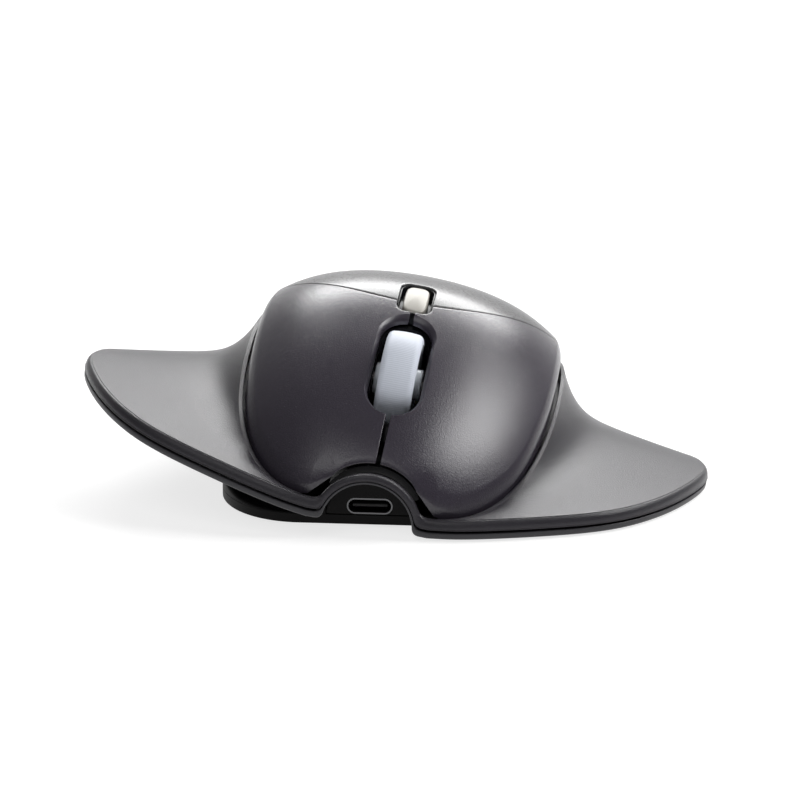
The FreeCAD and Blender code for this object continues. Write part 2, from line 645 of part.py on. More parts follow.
# ---------------------------------------------------------------- rocking shell

SS = [i * 0.5 for i in range(0, 4 * NS + 1)]
RR = [0.0, 0.03, 0.07, 0.12, 0.19, 0.28, 0.4, 0.55, 0.7, 0.85, 1.0]
LIP = 0.85          # collar's rounded lip, across


def smooth(t):
    t = min(max(t, 0.0), 1.0)
    return t * t * (3 - 2 * t)


def ledge_top(q, cz):
    """ledge under the dome's edge, below the collar's top cz"""
    return cz - 1.2 - 1.8 * smooth((q - 10) / 12.0)


def collar(sv, d):
    """point at the collar, d inside it in plan, at the collar's height"""
    p, a, b = wing(sv, 0.0), wing(max(sv - 0.05, 0.0), 0.0), wing(min(sv + 0.05, 2 * NS), 0.0)
    t = b - a
    n = Vector(t.y, -t.x, 0)
    n.normalize()
    return Vector(p.x - n.x * d, p.y - n.y * d, p.z)


FLOOR = V("lower_thick") + V("rim_gap")


def wing_grids(t):
    P, Q = [], []
    for sv in SS:
        c0 = wing(sv, 0.0)
        cap = c0.z - ledge_top(c0.y, c0.z) + 1.1
        g0 = collar(sv, LIP)
        rowp = [Vector(g0.x, g0.y, g0.z + 0.2)]
        rowq = [Vector(g0.x, g0.y, max(g0.z - cap, under_z(g0.x) + FLOOR))]
        for r in RR:
            p = wing(sv, r)
            dv = wing(sv, min(r + 0.01, 1.0)) - wing(sv, max(r - 0.01, 0.0))
            k = abs(dv.z) / max(math.hypot(dv.x, dv.y), 1e-6)
            w = max(0.0, (r - 0.55) / 0.45)
            dz = t * (1 * w + (1 - w) * math.sqrt(1 + k * k))
            dz = min(dz, cap)
            if r == 0.0:
                dz = cap
            rowp.append(p)
            rowq.append(Vector(p.x, p.y, max(p.z - dz, under_z(p.x) + FLOOR)))
        P.append(rowp)
        Q.append(rowq)
    return P, Q


WT = V("wing_thick")
P, Q = wing_grids(WT)
wsh = slab(P, Q)
czq = spline([(row[1], row[2] + UP) for row in ST])


def ledge_z(q):
    return ledge_top(q, czq(q))


# ledge inside the collar, from behind the arch on one side round to the other
LS = [i * 0.5 for i in range(9, 4 * NS - 8)]
P, Q = [], []
for sv in LS:
    c0 = wing(sv, 0.0)
    z = ledge_top(c0.y, c0.z)
    row = [collar(sv, d) for d in (LIP - 0.45, LIP + 1.0, LIP + 2.6)]
    P.append([Vector(v.x, v.y, z) for v in row])
    Q.append([Vector(v.x, v.y, z - 0.8) for v in row])
wsh = wsh.fuse(slab(P, Q))
# nothing of the shell stands in the arch
arch_hole = cyl_y(V("arch_in"), -3, V("arch_deep") + 6)
arch = cyl_y(V("arch_out"), -0.8, V("arch_deep")).cut(cyl_y(V("arch_in"), -3, 8)).common(box(-12, 12, -1, 6, under_z(9.5) + V("lower_thick") + V("rim_gap"), 15))
wsh = wsh.fuse(arch)
for sg in (-1, 1):
    # the wing's foot runs into the arch
    a, c = (9.0, 14.0) if sg > 0 else (-14.0, -9.0)
    ft = Part.makeBox(5.0, 5.3, 1.5, Vector(a, -0.8, under_z(14.0) + FLOOR))
    wsh = wsh.fuse(ft.makeFillet(0.4, [e for e in ft.Edges if e.Vertexes[0].Z > 5.2 and e.Vertexes[1].Z > 5.2 and e.Vertexes[0].Y < 0 and e.Vertexes[1].Y < 0]))
wsh = wsh.cut(arch_hole)
# tabs and posts that carry the chassis, and posts for the wing screws
CT = V("chassis_low") + V("chassis_thick")
TABS = [(24.4, 41.0), (22.6, 74.0)]
WPOST = [(45.0, 27.0), (47.0, 47.0), (26.0, 92.0)]
for sg in (-1, 1):
    for x, q in TABS:
        zt = ledge_z(q)
        x1 = half(q) + 0.4
        a, c = (x - 2.3, x1) if sg > 0 else (-x1, -x + 2.3)
        wsh = wsh.fuse(box(a, c, q - 2.3, q + 2.3, zt - 3.0, zt - 0.15)).fuse(cyl_z(2.3, sg * x, q, CT + 0.03, zt - 0.2))
        wsh = wsh.cut(cyl_z(0.8, sg * x, q, CT - 1, CT + 6))
    for x, q in WPOST:
        zb = under_z(x) + V("lower_thick") + 0.5
        # height of the shell over the post, found along its section
        best = None
        for i in range(int(4 * 0.5) * 10, NS * 20):
            sv = i / 20.0
            for r in (0.2, 0.3, 0.4, 0.5, 0.6, 0.7, 0.8):
                p = wing(sv, r)
                d = math.hypot(p.x - x, p.y - q)
                if best is None or d < best[0]:
                    best = (d, p.z)
        ztop = best[1] - 1.1
        wsh = wsh.fuse(cyl_z(2.0, sg * x, q, zb, ztop))
        wsh = wsh.cut(cyl_z(0.75, sg * x, q, zb - 1, ztop - 0.6))
feature("wing_upper_shell", wsh, TILT)

# lower shell: follows the edge, open round the base
LT = V("lower_thick")
gap = V("open_gap")


def open_edge(d):
    return [g.toShape() for g in base_outline(-d)]


# upright block inside the edge's plan outline
n = 4 * NS
rim = [(RX(i * 0.5) * SPAN, RQ(i * 0.5)) for i in range(n + 1)]
rim_block = prism([curve(rim), line(rim[-1], rim[0])], -5, 40)
xs = [-68 + 136 * i / 34.0 for i in range(35)]
qs = [-6.0, 30.0, 60.0, 90.0, 116.0]
lsh = slab([[Vector(x, q, under_z(x) + LT) for q in qs] for x in xs], [[Vector(x, q, under_z(x)) for q in qs] for x in xs])
lsh = lsh.common(rim_block).cut(prism(open_edge(gap), -6, 41))
lsh = lsh.cut(cyl_y(V("arch_low_out"), -4, 8))
larch = cyl_y(V("arch_low_out"), -0.8, V("arch_deep")).cut(cyl_y(V("arch_low_in"), -3, 8)).common(box(-12, 12, -1, 6, under_z(9.3), 15))
lsh = lsh.fuse(larch)
for sg in (-1, 1):
    for x, q in WPOST:
        lsh = lsh.cut(cyl_z(1.0, sg * x, q, -2, 20)).cut(cyl_z(1.75, sg * x, q, -2, under_z(x) + 0.6))
feature("wing_lower_shell", lsh, TILT)

parts = []
k = 0
for sg in (-1, 1):
    for x, q in WPOST:
        z0 = under_z(x)
        hd = pc("wing_screw_head_%d" % k, 1.6, 0.42, sg * x, q, z0 + 0.14)
        sk = pc("wing_screw_shank_%d" % k, 0.68, 2.0, sg * x, q, z0 + 0.5)
        so = pc("wing_screw_socket_%d" % k, 0.6, 0.22, sg * x, q, z0 + 0.14)
        parts.append(cut("wing_screw_%d" % k, fuse("wing_screw_body_%d" % k, hd, sk), so))
        k += 1
group("wing_screws", parts, TILT)

# the dome's skin, split into two button plates and the palm cover
DT = V("dome_thick")
reach = spline([(-2, 8.6), (0, 12.0), (1.5, 14.9), (4, 18.5), (8, 22.6), (14, 26.7), (22, 30.0), (32, 31.8), (45, 32.1),
                (60, 31.3), (73, 29.6), (85, 26.2), (95, 21.2), (100, 17.6), (104, 15.2), (108, 12.0), (111, 10.0)])
qs = [-2.0, -0.5, 1.0, 2.5, 4.0, 6.0, 8.0, 10.5] + [13.0 + 3.5 * i for i in range(23)] + [93.0, 96.0, 99.0, 102.0, 105.0, 107.5, 110.0]
us = [-1 + 2 * i / 26.0 for i in range(27)]


def below_dome(x, q, t):
    gx = (dome(x + 0.05, q) - dome(x - 0.05, q)) / 0.1
    gq = (dome(x, q + 0.05) - dome(x, q - 0.05)) / 0.1
    return dome(x, q) - t * math.sqrt(1 + min(gx * gx + gq * gq, 3.0))


skin = slab([[Vector(u * reach(q), q, dome(u * reach(q), q)) for q in qs] for u in us],
            [[Vector(u * reach(q), q, below_dome(u * reach(q), q, DT)) for q in qs] for u in us])
skin = skin.common(outline(0.0, -10, 80))
# skirts down to the collar where the dome's edge stands above it
for lo, hi in ((8, 22), (4 * NS - 22, 4 * NS - 8)):
    P, Q = [], []
    for i in range(lo, hi + 1):
        c0 = collar(i * 0.5, 0.0)
        a, c = collar(i * 0.5, LIP + V("groove") + 0.12), collar(i * 0.5, LIP + V("groove") + 1.4)
        zt = dome(a.x, a.y) - 0.9
        zb = min(c0.z - 0.3, zt - 1.0)
        P.append([Vector(a.x, a.y, zb), Vector(a.x, a.y, (zb + zt) / 2), Vector(a.x, a.y, zt)])
        Q.append([Vector(c.x, c.y, zb), Vector(c.x, c.y, (zb + zt) / 2), Vector(c.x, c.y, zt)])
    skin = skin.fuse(slab(P, Q))
slot = stadium(V("slot_w"), V("slot_l"), V("slot_q"), -5, 70)
dpi_hole = stadium(V("dpi_w"), V("dpi_l"), V("dpi_q"), 10, 70, 2.0)
skin = skin.cut(slot).cut(dpi_hole).cut(cyl_y(V("plate_arch"), -6, 8))


def qb(x):
    """front border of the palm cover"""
    return 40.0 + 15.3 * (x / 27.0) ** 2


CS = V("cover_seam")
bx = [-36 + 72 * i / 24.0 for i in range(25)]
ahead = prism([curve([(x, qb(x)) for x in bx]), line((bx[-1], qb(bx[-1])), (36, -20)), line((36, -20), (-36, -20)), line((-36, -20), (bx[0], qb(bx[0])))], -10, 80)
behind = prism([curve([(x, qb(x) + CS) for x in bx]), line((bx[-1], qb(bx[-1]) + CS), (36, 130)), line((36, 130), (-36, 130)), line((-36, 130), (bx[0], qb(bx[0]) + CS))], -10, 80)
SE = V("seam") / 2
HQ, HZ, PR = V("hinge_q"), V("hinge_z"), V("pin_r")
SX, SQ, SW, SD, STK = V("switch_x"), V("switch_q"), V("switch_w"), V("switch_d"), V("switch_t")
PX = V("plunger_x")
PCBT = CT + 0.2 + 1.0
below = layer(2.15, 16.0, -20, 20, 10, 36.0, 52.0, 8)
under_plate = layer(0.6, 3.0, -20, 20, 10, 36.0, 52.0, 8)
for sg, nm in ((-1, "left_button"), (1, "right_button")):
    side = box(SE, 40, -10, 100, -10, 80) if sg > 0 else box(-40, -SE, -10, 100, -10, 80)
    plate = skin.common(ahead).common(side)
    lug = box(13.2, 16.0, HQ - 1.7, HQ + 1.7, HZ - 1.7, 60) if sg > 0 else box(-16.0, -13.2, HQ - 1.7, HQ + 1.7, HZ - 1.7, 60)
    lug = lug.common(below).fuse(lug.common(under_plate).common(ahead))
    rib = box(sg * PX - 1.0, sg * PX + 1.0, SQ - 1.2, SQ + 1.2, PCBT + STK + 0.65, dome(sg * PX, SQ) - 1.6)
    plate = plate.fuse(lug).fuse(rib)
    plate = plate.cut(cyl_x(PR + 0.05, -20, 20, HQ, HZ)).cut(box(-30, 30, -5, 4.5, -10, 6.95))
    feature(nm, plate, TILT)

cover = skin.common(behind)
for sg in (-1, 1):
    # snap hooks that reach down to the ledge
    q = 82.0
    x = half(q) - 2.0
    a = (sg * x - 0.7, sg * x + 0.7)
    cover = cover.fuse(box(min(a), max(a), q - 3, q + 3, ledge_z(q - 3.0) + 0.15, dome(x, q) - 1.0))
    cover = cover.fuse(cyl_z(2.2, sg * 20.5, 64.0, CT + 0.03, dome(20.5, 64.0) - 1.2)).cut(cyl_z(0.8, sg * 20.5, 64.0, CT - 1, CT + 8))
feature("top_cover", cover, TILT)

# chassis plate with the saddle that rocks on the nose
b = body("chassis", TILT)
s = sketch(b, "chassis_outline", "XY_Plane", poly([(-22, 16.5), (-10.4, 16.5), (-10.4, 13.15), (10.4, 13.15), (10.4, 16.5), (22, 16.5), (25.4, 30), (27, 40), (27, 60), (25.6, 76), (20, 86), (-20, 86), (-25.6, 76), (-27, 60), (-27, 40), (-25.4, 30)]), V("chassis_low"))
pad(b, s, "chassis_plate", E + "chassis_thick * 1 mm")
geo = rect(-4.6, 4.6, 15.9, 36.2) + rect(-5.4, 5.4, 57.2, 60.0)
for sg in (-1, 1):
    for x, q in TABS + [(20.5, 64.0)]:
        geo += circle(sg * x, q, 1.0)
    geo += circle(sg * 3.0, 82.0, 1.0)
s = sketch(b, "chassis_openings", "XY_Plane", geo, CT)
pocket(b, s, "chassis_cuts", 3.0)


def ring_sketch(b, name, r0, r1, deg, q):
    """upright ring sector about the rocking axis, drawn at q"""
    s = b.newObject("Sketcher::SketchObject", name)
    s.AttachmentSupport = [(plane(b, "XZ_Plane"), "")]
    s.MapMode = "FlatFace"
    s.AttachmentOffset = Placement(Vector(0, 0, -q), Rotation())
    a0, a1 = math.radians(90 - deg), math.radians(90 + deg)
    for r in (r0, r1):
        s.addGeometry(Part.ArcOfCircle(Part.Circle(Vector(0, ZA, 0), Vector(0, 0, 1), r), a0, a1), False)
    for a in (a0, a1):
        s.addGeometry(L((r0 * math.cos(a), ZA + r0 * math.sin(a)), (r1 * math.cos(a), ZA + r1 * math.sin(a))), False)
    return s


s = ring_sketch(b, "saddle_ring", NR + 0.06, NR + 1.8, 58, 14.8)
pad(b, s, "saddle", 8.1)
s = ring_sketch(b, "saddle_back", 6.0, NR + 1.0, 38, 14.8)
pad(b, s, "saddle_wall", 1.65)
s = ring_sketch(b, "saddle_hook", 6.0, 7.2, 38, 14.0)
pad(b, s, "hook", 2.8)
# hinge posts
for sg in (-1, 1):
    for x0, x1, nm in ((11.2, 12.9, "in"), (16.3, 18.0, "out")):
        a, c = (x0, x1) if sg > 0 else (-x1, -x0)
        tag = ("right_" if sg > 0 else "left_") + nm
        s = sketch(b, "hinge_post_" + tag, "XY_Plane", rect(a, c, HQ - 2.2, HQ + 2.2), CT)
        pad(b, s, "hinge_post_pad_" + tag, HZ + 1.6 - CT)
s = b.newObject("Sketcher::SketchObject", "hinge_bore")
s.AttachmentSupport = [(plane(b, "YZ_Plane"), "")]
s.MapMode = "FlatFace"
s.AttachmentOffset = Placement(Vector(0, 0, -25), Rotation())
s.addGeometry(Part.Circle(Vector(HQ, HZ, 0), Vector(0, 0, 1), PR + 0.01), False)
pocket(b, s, "hinge_bores", 50.0, True)

parts = []
for i, sg in enumerate((-1, 1)):
    parts.append(pc("hinge_pin_%d" % i, E + "pin_r * 1 mm", 7.6, 10.8 if sg > 0 else -18.4, HQ, HZ, Vector(1, 0, 0)))
group("button_hinge_pins", parts, TILT)

# shoe: wraps the rail's flange
g = V("run_gap")
SQ0, SQ1 = RQM - RW / 2 - g - 1.6, RQM + RW / 2 + g + 1.6
shoe = sector(RM - g - 1.5, RO + g + 1.7, SQ0, SQ1, -18, 18)
shoe = shoe.cut(sector(RM - g, RO + g, RQM - RW / 2 - g, RQM + RW / 2 + g, -30, 30))
shoe = shoe.cut(sector(RM - g - 3, RM + 0.2, RQM - WW / 2 - 0.4, RQM + WW / 2 + 0.4, -30, 30))
pl = box(-6.0, 6.0, 79.6, SQ0 + 0.6, CT + 0.03, CT + 1.8)
shoe = shoe.fuse(pl)
for x in (-3.0, 3.0):
    shoe = shoe.cut(cyl_z(0.95, x, 82.0, CT - 1, CT + 4))
shoe = shoe.fuse(box(-4.0, 4.0, SQ0 - 2.0, SQ0 + 0.8, CT + 0.03, ZA + RO + 1.2)).removeSplitter()
feature("rear_shoe", shoe, TILT)
parts = []
for i, x in enumerate((-3.0, 3.0)):
    hd = pc("shoe_screw_head_%d" % i, 1.4, 0.9, x, 82.0, CT + 1.84)
    sk = pc("shoe_screw_shank_%d" % i, 0.75, 3.0, x, 82.0, CT - 1.1)
    so = pc("shoe_screw_socket_%d" % i, 0.6, 0.5, x, 82.0, CT + 2.3)
    parts.append(cut("shoe_screw_%d" % i, fuse("shoe_screw_body_%d" % i, hd, sk), so))
group("shoe_screws", parts, TILT)
parts = []
k = 0
for sg in (-1, 1):
    for x, q in TABS + [(20.5, 64.0)]:
        hd = pc("chassis_screw_head_%d" % k, 1.5, 0.4, sg * x, q, V("chassis_low") - 0.43)
        sk = pc("chassis_screw_shank_%d" % k, 0.72, 5.0, sg * x, q, V("chassis_low") - 0.2)
        so = pc("chassis_screw_socket_%d" % k, 0.55, 0.22, sg * x, q, V("chassis_low") - 0.43)
        parts.append(cut("chassis_screw_%d" % k, fuse("chassis_screw_body_%d" % k, hd, sk), so))
        k += 1
group("chassis_screws", parts, TILT)

# black trim: lines the wheel slot, closes the slit and the small button's hole from below
low = layer(3.0, 4.2, -9, 9, 6, 8.0, 54.0, 16)
tall = layer(2.1, 4.6, -9, 9, 6, 8.0, 54.0, 16)
opening = stadium(V("bezel_w"), V("bezel_l"), V("slot_q"), -5, 70)
ringb = stadium(V("bezel_w") + 1.7, V("bezel_l") + 1.7, V("slot_q"), 0, 60).common(tall)
tongue = box(-8.6, 8.6, 33.5, 50.0, 0, 60).common(low)
ins = ringb.fuse(tongue).cut(opening)
ins = ins.cut(box(-1.7, 1.7, V("dpi_q") - 1.7, V("dpi_q") + 1.7, 20, 60))
for sg in (-1, 1):
    a, c = (7.2, 8.6) if sg > 0 else (-8.6, -7.2)
    ins = ins.fuse(box(a, c, 36.6, 40.4, CT + 0.05, dome(8.5, 36.6) - 3.7))
shelf = box(-7.5, 7.5, 38.4, 48.6, 29.6, 30.8)
ins = ins.fuse(shelf).cut(cyl_x(1.05, -9, 9, 38.5, 15.5))
ins = ins.cut(cyl_x(1.4, -9, 9, V("wheel_q"), V("wheel_z"))).cut(box(-9, 9, V("wheel_q") - 1.4, V("wheel_q") + 1.4, 10, V("wheel_z")))
feature("centre_insert", ins, TILT)

o = pb("small_board", 8.4, 8.4, 0.8, -4.2, 39.9, 30.85)
node(o, "dpi_board", TILT.multiply(o.Placement))
ts = fuse("dpi_switch_shape", pb("dpi_switch_case", 4.4, 4.4, 1.5, -2.2, V("dpi_q") - 2.2, 31.7), pc("dpi_switch_nub", 1.0, 0.3, 0, V("dpi_q"), 33.0))
node(ts, "dpi_tact_switch", TILT)

cap = stadium(V("dpi_cap_w"), V("dpi_cap_l"), V("dpi_q"), 10, 60, 1.3).common(layer(0.15, 2.1, -9, 9, 6, 30.0, 54.0, 10))
cap = cap.fuse(box(-1.4, 1.4, V("dpi_q") - 1.4, V("dpi_q") + 1.4, 33.68, dome(0, V("dpi_q")) - 1.6))
feature("dpi_button", cap, TILT)

# board with the click switches
b = body("button_pcb", TILT)
s = sketch(b, "click_board_outline", "XY_Plane", poly([(-23, 18.4), (-4.8, 18.4), (-4.8, 35.6), (4.8, 35.6), (4.8, 18.4), (23, 18.4), (24.0, 34.0), (18, 36.2), (5.6, 36.2), (5.6, 56.4), (-5.6, 56.4), (-5.6, 36.2), (-18, 36.2), (-24.0, 34.0)]), CT + 0.2)
pad(b, s, "click_board", 1.0)
for sg, side in ((-1, "left"), (1, "right")):
    x0 = sg * SX - SW / 2
    c = pb(side + "_switch_case", E + "switch_w * 1 mm", E + "switch_d * 1 mm", E + "switch_t * 1 mm", x0, SQ - SD / 2, PCBT + 0.02)
    h = pb(side + "_switch_well", 2.6, 1.8, 3.0, sg * PX - 1.3, SQ - 0.9, PCBT + STK - 1.4)
    o = cut(side + "_switch_shape", c, h)
    node(o, side + "_microswitch", TILT)
    pl = pb(side + "_plunger_block", 2.3, 1.5, 1.5, sg * PX - 1.15, SQ - 0.75, PCBT + STK - 0.92)
    node(pl, side + "_switch_plunger", TILT.multiply(pl.Placement))
ms = fuse("middle_switch_shape", pb("middle_switch_case", 4.0, 4.0, 1.9, 6.2, 29.1, PCBT + 0.02), pc("middle_switch_nub", 1.0, 0.6, 8.2, 31.1, PCBT + 1.8))
node(ms, "middle_click_switch", TILT)

# battery, and the ribbon between the two boards
bt = put("Part::Box", "battery_block", {"Length": E + "batt_w * 1 mm", "Width": E + "batt_l * 1 mm", "Height": E + "batt_t * 1 mm"},
         Placement(Vector(-V("batt_w") / 2, 60.6, CT + 0.1), Rotation()))
doc.recompute()
bf = doc.addObject("Part::Fillet", "battery_rounded")
bf.Base = bt
bf.Edges = [(i + 1, 1.2, 1.2) for i, e in enumerate(bt.Shape.Edges)
            if abs(e.Vertexes[0].X - e.Vertexes[1].X) < 0.01 and abs(e.Vertexes[0].Z - e.Vertexes[1].Z) < 0.01]
node(bf, "battery_cell", TILT)
o = pb("ffc_high", 7.6, 3.0, 1.9, -3.8, 52.4, PCBT + 0.02)
node(o, "ffc_connector_shell", TILT.multiply(o.Placement))

path = [(58.5, 4.86), (58.5, 6.0), (58.5, 7.5), (58.5, 9.0), (58.5, 10.5), (58.5, 11.8), (58.3, 12.9), (57.6, 13.75), (56.7, 14.0), (55.9, 13.95), (55.46, 13.9)]


def ribbon_point(i, x, t):
    q, z = path[i]
    q0, z0 = path[max(i - 1, 0)]
    q1, z1 = path[min(i + 1, len(path) - 1)]
    n = math.hypot(q1 - q0, z1 - z0)
    q, z = q + t * (z1 - z0) / n, z - t * (q1 - q0) / n
    a = math.radians(V("rest_tilt")) * smooth((z - 5.5) / 7.5)
    return Vector(x * math.cos(a) + (z - ZA) * math.sin(a), q, ZA - x * math.sin(a) + (z - ZA) * math.cos(a))


rib = slab([[ribbon_point(i, x, 0.06) for x in (-3.0, -1.0, 1.0, 3.0)] for i in range(len(path))],
           [[ribbon_point(i, x, -0.06) for x in (-3.0, -1.0, 1.0, 3.0)] for i in range(len(path))])
feature("ribbon_cable", rib, LEVEL)

# ---------------------------------------------------------------- scroll wheel in its carrier

WQ, WZ = V("wheel_q"), V("wheel_z")
HUB = TILT.multiply(Placement(Vector(0, WQ, WZ), Rotation()))


def turned(name, place, geo):
    """round piece turned about its own X axis"""
    b = body(name, place)
    s = sketch(b, name + "_profile", "XY_Plane", geo)
    r = b.newObject("PartDesign::Revolution", name + "_turn")
    r.Profile = s
    r.ReferenceAxis = (s, ["H_Axis"])
    r.Angle = 360.0
    s.Visibility = False
    return b


TW, TR, HR, AR = V("wheel_w") / 2, V("wheel_r"), V("hub_r"), V("axle_r")
cr = 1.5
g0 = [L((-TW, HR + 0.02), (TW, HR + 0.02)), L((TW, HR + 0.02), (TW, TR - cr)),
      Part.ArcOfCircle(Part.Circle(Vector(TW - cr, TR - cr, 0), Vector(0, 0, 1), cr), 0, math.pi / 2),
      L((TW - cr, TR), (-TW + cr, TR)),
      Part.ArcOfCircle(Part.Circle(Vector(-TW + cr, TR - cr, 0), Vector(0, 0, 1), cr), math.pi / 2, math.pi),
      L((-TW, TR - cr), (-TW, HR + 0.02))]
turned("wheel_tyre", HUB, g0)
hw = TW - 0.3
b = turned("wheel_hub", HUB, poly([(-4.7, AR + 0.01), (4.7, AR + 0.01), (4.7, 3.1), (1.4, 3.3), (1.0, HR - 1.7), (hw, HR - 1.3), (hw, HR - 0.02),
                                   (-hw, HR - 0.02), (-hw, HR - 1.3), (-1.0, HR - 1.7), (-1.4, 3.3), (-4.7, 3.1)]))
s = b.newObject("Sketcher::SketchObject", "hub_window")
s.AttachmentSupport = [(plane(b, "YZ_Plane"), "")]
s.MapMode = "FlatFace"
s.AttachmentOffset = Placement(Vector(0, 0, 2.0), Rotation())
s.addGeometry(Part.Circle(Vector(4.8, 0, 0), Vector(0, 0, 1), 1.1), False)
pk = pocket(b, s, "hub_window_cut", 4.0)
doc.recompute()
pp = b.newObject("PartDesign::PolarPattern", "hub_windows")
pp.Originals = [pk]
pp.Axis = (plane(b, "X_Axis"), [""]) if plane(b, "X_Axis") else None
pp.Angle = 360.0
pp.Occurrences = 6
b.Tip = pp

o = pc("axle_rod", E + "axle_r * 1 mm", 17.2, -9.9, WQ, WZ, Vector(1, 0, 0))
node(o, "wheel_axle", TILT.multiply(o.Placement))

b = body("wheel_carrier", TILT)
CQ0, CZ0 = 38.5, 15.5
arm = [(40.2, 13.8), (40.2, 17.2), (37.0, 17.9), (28.4, 26.3), (27.4, 26.9), (24.9, 26.5), (24.3, 24.2), (25.2, 22.6), (29.0, 15.5), (34.0, 15.5), (36.0, 13.8)]
for x0, nm in ((6.0, "right"), (-7.0, "left")):
    s = b.newObject("Sketcher::SketchObject", "carrier_arm_" + nm)
    s.AttachmentSupport = [(plane(b, "YZ_Plane"), "")]
    s.MapMode = "FlatFace"
    s.AttachmentOffset = Placement(Vector(0, 0, x0), Rotation())
    for g in poly(arm):
        s.addGeometry(g, False)
    if nm == "right":
        pad(b, s, "carrier_arm_pad_" + nm, 1.0)
        s2 = sketch(b, "carrier_bar", "XY_Plane", rect(-6.5, 6.5, 37.4, 40.2), 13.8)
        pad(b, s2, "carrier_bar_pad", 3.4)
    else:
        pad(b, s, "carrier_arm_pad_" + nm, 1.0)
s = sketch(b, "carrier_foot", "XY_Plane", rect(6.5, 9.4, 29.6, 32.6), 15.55)
pad(b, s, "carrier_foot_pad", 1.4)
s = b.newObject("Sketcher::SketchObject", "carrier_pins")
s.AttachmentSupport = [(plane(b, "YZ_Plane"), "")]
s.MapMode = "FlatFace"
s.AttachmentOffset = Placement(Vector(0, 0, -8.4), Rotation())
s.addGeometry(Part.Circle(Vector(CQ0, CZ0, 0), Vector(0, 0, 1), 1.0), False)
pad(b, s, "carrier_pin_pad", 16.8)
s = b.newObject("Sketcher::SketchObject", "carrier_bore")
s.AttachmentSupport = [(plane(b, "YZ_Plane"), "")]
s.MapMode = "FlatFace"
s.AttachmentOffset = Placement(Vector(0, 0, -8.0), Rotation())
s.addGeometry(Part.Circle(Vector(WQ, WZ, 0), Vector(0, 0, 1), AR + 0.06), False)
pocket(b, s, "carrier_bores", 16.0, True)

eb = pb("encoder_case", 2.9, 5.7, 6.3, -10.1, WQ - 2.3, WZ - 4.7)
eh = pc("encoder_bore", AR + 0.06, 4.0, -10.6, WQ, WZ, Vector(1, 0, 0))
node(cut("encoder_shape", eb, eh), "wheel_encoder", TILT)

# ---------------------------------------------------------------- checks and files

doc.recompute()
bad = []
for o in doc.Objects:
    if "Invalid" in o.State or "Error" in o.State:
        bad.append((o.Name, o.State))
for o in nodes:
    if o.Shape.isNull() or not o.Shape.isValid() or not o.Shape.Solids:
        bad.append((o.Label, "shape"))
if bad:
    raise RuntimeError("not sound: %r" % bad)
os.makedirs("parts", exist_ok=True)
for o in nodes:
    o.Shape.exportStep("parts/" + o.Label + ".step")
print("nodes", len(nodes))
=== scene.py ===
import bpy
import bmesh
import math
import numpy as np
from mathutils import Vector, Matrix
from mathutils.geometry import delaunay_2d_cdt


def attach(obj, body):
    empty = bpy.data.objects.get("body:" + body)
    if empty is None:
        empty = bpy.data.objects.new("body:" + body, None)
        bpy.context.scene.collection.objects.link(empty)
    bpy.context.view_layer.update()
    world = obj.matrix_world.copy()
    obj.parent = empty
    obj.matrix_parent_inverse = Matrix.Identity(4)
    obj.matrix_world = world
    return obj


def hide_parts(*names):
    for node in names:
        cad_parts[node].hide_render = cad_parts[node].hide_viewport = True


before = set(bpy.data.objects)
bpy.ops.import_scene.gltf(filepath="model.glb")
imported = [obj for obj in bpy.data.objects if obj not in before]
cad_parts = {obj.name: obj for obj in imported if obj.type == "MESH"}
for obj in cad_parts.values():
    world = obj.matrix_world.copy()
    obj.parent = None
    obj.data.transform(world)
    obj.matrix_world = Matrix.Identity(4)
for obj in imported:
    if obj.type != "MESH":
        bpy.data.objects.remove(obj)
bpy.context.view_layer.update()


# ---------------------------------------------------------------- dimensions, millimetres
# The same numbers as the solid model's: (x, q, z), x across, q back from the plane of the arch's front edge, z up.
AX, YF, ZA = -1.73, -55.12, 2.2
TILT = math.radians(9.4)
UP = 0.7
LIP, GROOVE = 0.85, 0.6
DIH, EDGE_LOW, EDGE_T = math.tan(math.radians(9.315)), 0.343, 3.82
LOW_T, RIM_GAP = 1.3, 0.5
SEAM, COVER_SEAM = 0.25, 0.2
SLOT_W, SLOT_L, SLOT_Q = 10.4, 23.3, 24.0
BEZEL_W, BEZEL_L = 9.9, 22.8
DPI_W, DPI_L, DPI_Q, DPI_R = 7.2, 10.4, 42.5, 2.0
CAP_W, CAP_L = 4.9, 9.5
ARCH = 12.6
WHEEL_R, WHEEL_W, WHEEL_Q, WHEEL_Z = 10.0, 7.2, 26.2, 24.9


class Spline:
    """natural cubic through (t, v) pairs, linear outside them"""

    def __init__(self, pts):
        t = np.array([p[0] for p in pts], float)
        v = np.array([p[1] for p in pts], float)
        h = np.diff(t)
        n = len(t)
        a = np.eye(n)
        b = np.zeros(n)
        for i in range(1, n - 1):
            a[i, i - 1], a[i, i], a[i, i + 1] = h[i - 1], 2 * (h[i - 1] + h[i]), h[i]
            b[i] = 6 * ((v[i + 1] - v[i]) / h[i] - (v[i] - v[i - 1]) / h[i - 1])
        m = np.linalg.solve(a, b)
        self.t, self.v, self.h, self.m = t, v, h, m
        self.s0 = (v[1] - v[0]) / h[0] - h[0] * (2 * m[0] + m[1]) / 6
        self.s1 = (v[-1] - v[-2]) / h[-1] + h[-1] * (m[-2] + 2 * m[-1]) / 6

    def __call__(self, x):
        x = np.asarray(x, float)
        t, v, h, m = self.t, self.v, self.h, self.m
        i = np.clip(np.searchsorted(t, x, side="right") - 1, 0, len(t) - 2)
        p, r = (t[i + 1] - x) / h[i], (x - t[i]) / h[i]
        y = p * v[i] + r * v[i + 1] + ((p ** 3 - p) * m[i] + (r ** 3 - r) * m[i + 1]) * h[i] ** 2 / 6
        y = np.where(x < t[0], v[0] + self.s0 * (x - t[0]), y)
        return np.where(x > t[-1], v[-1] + self.s1 * (x - t[-1]), y)


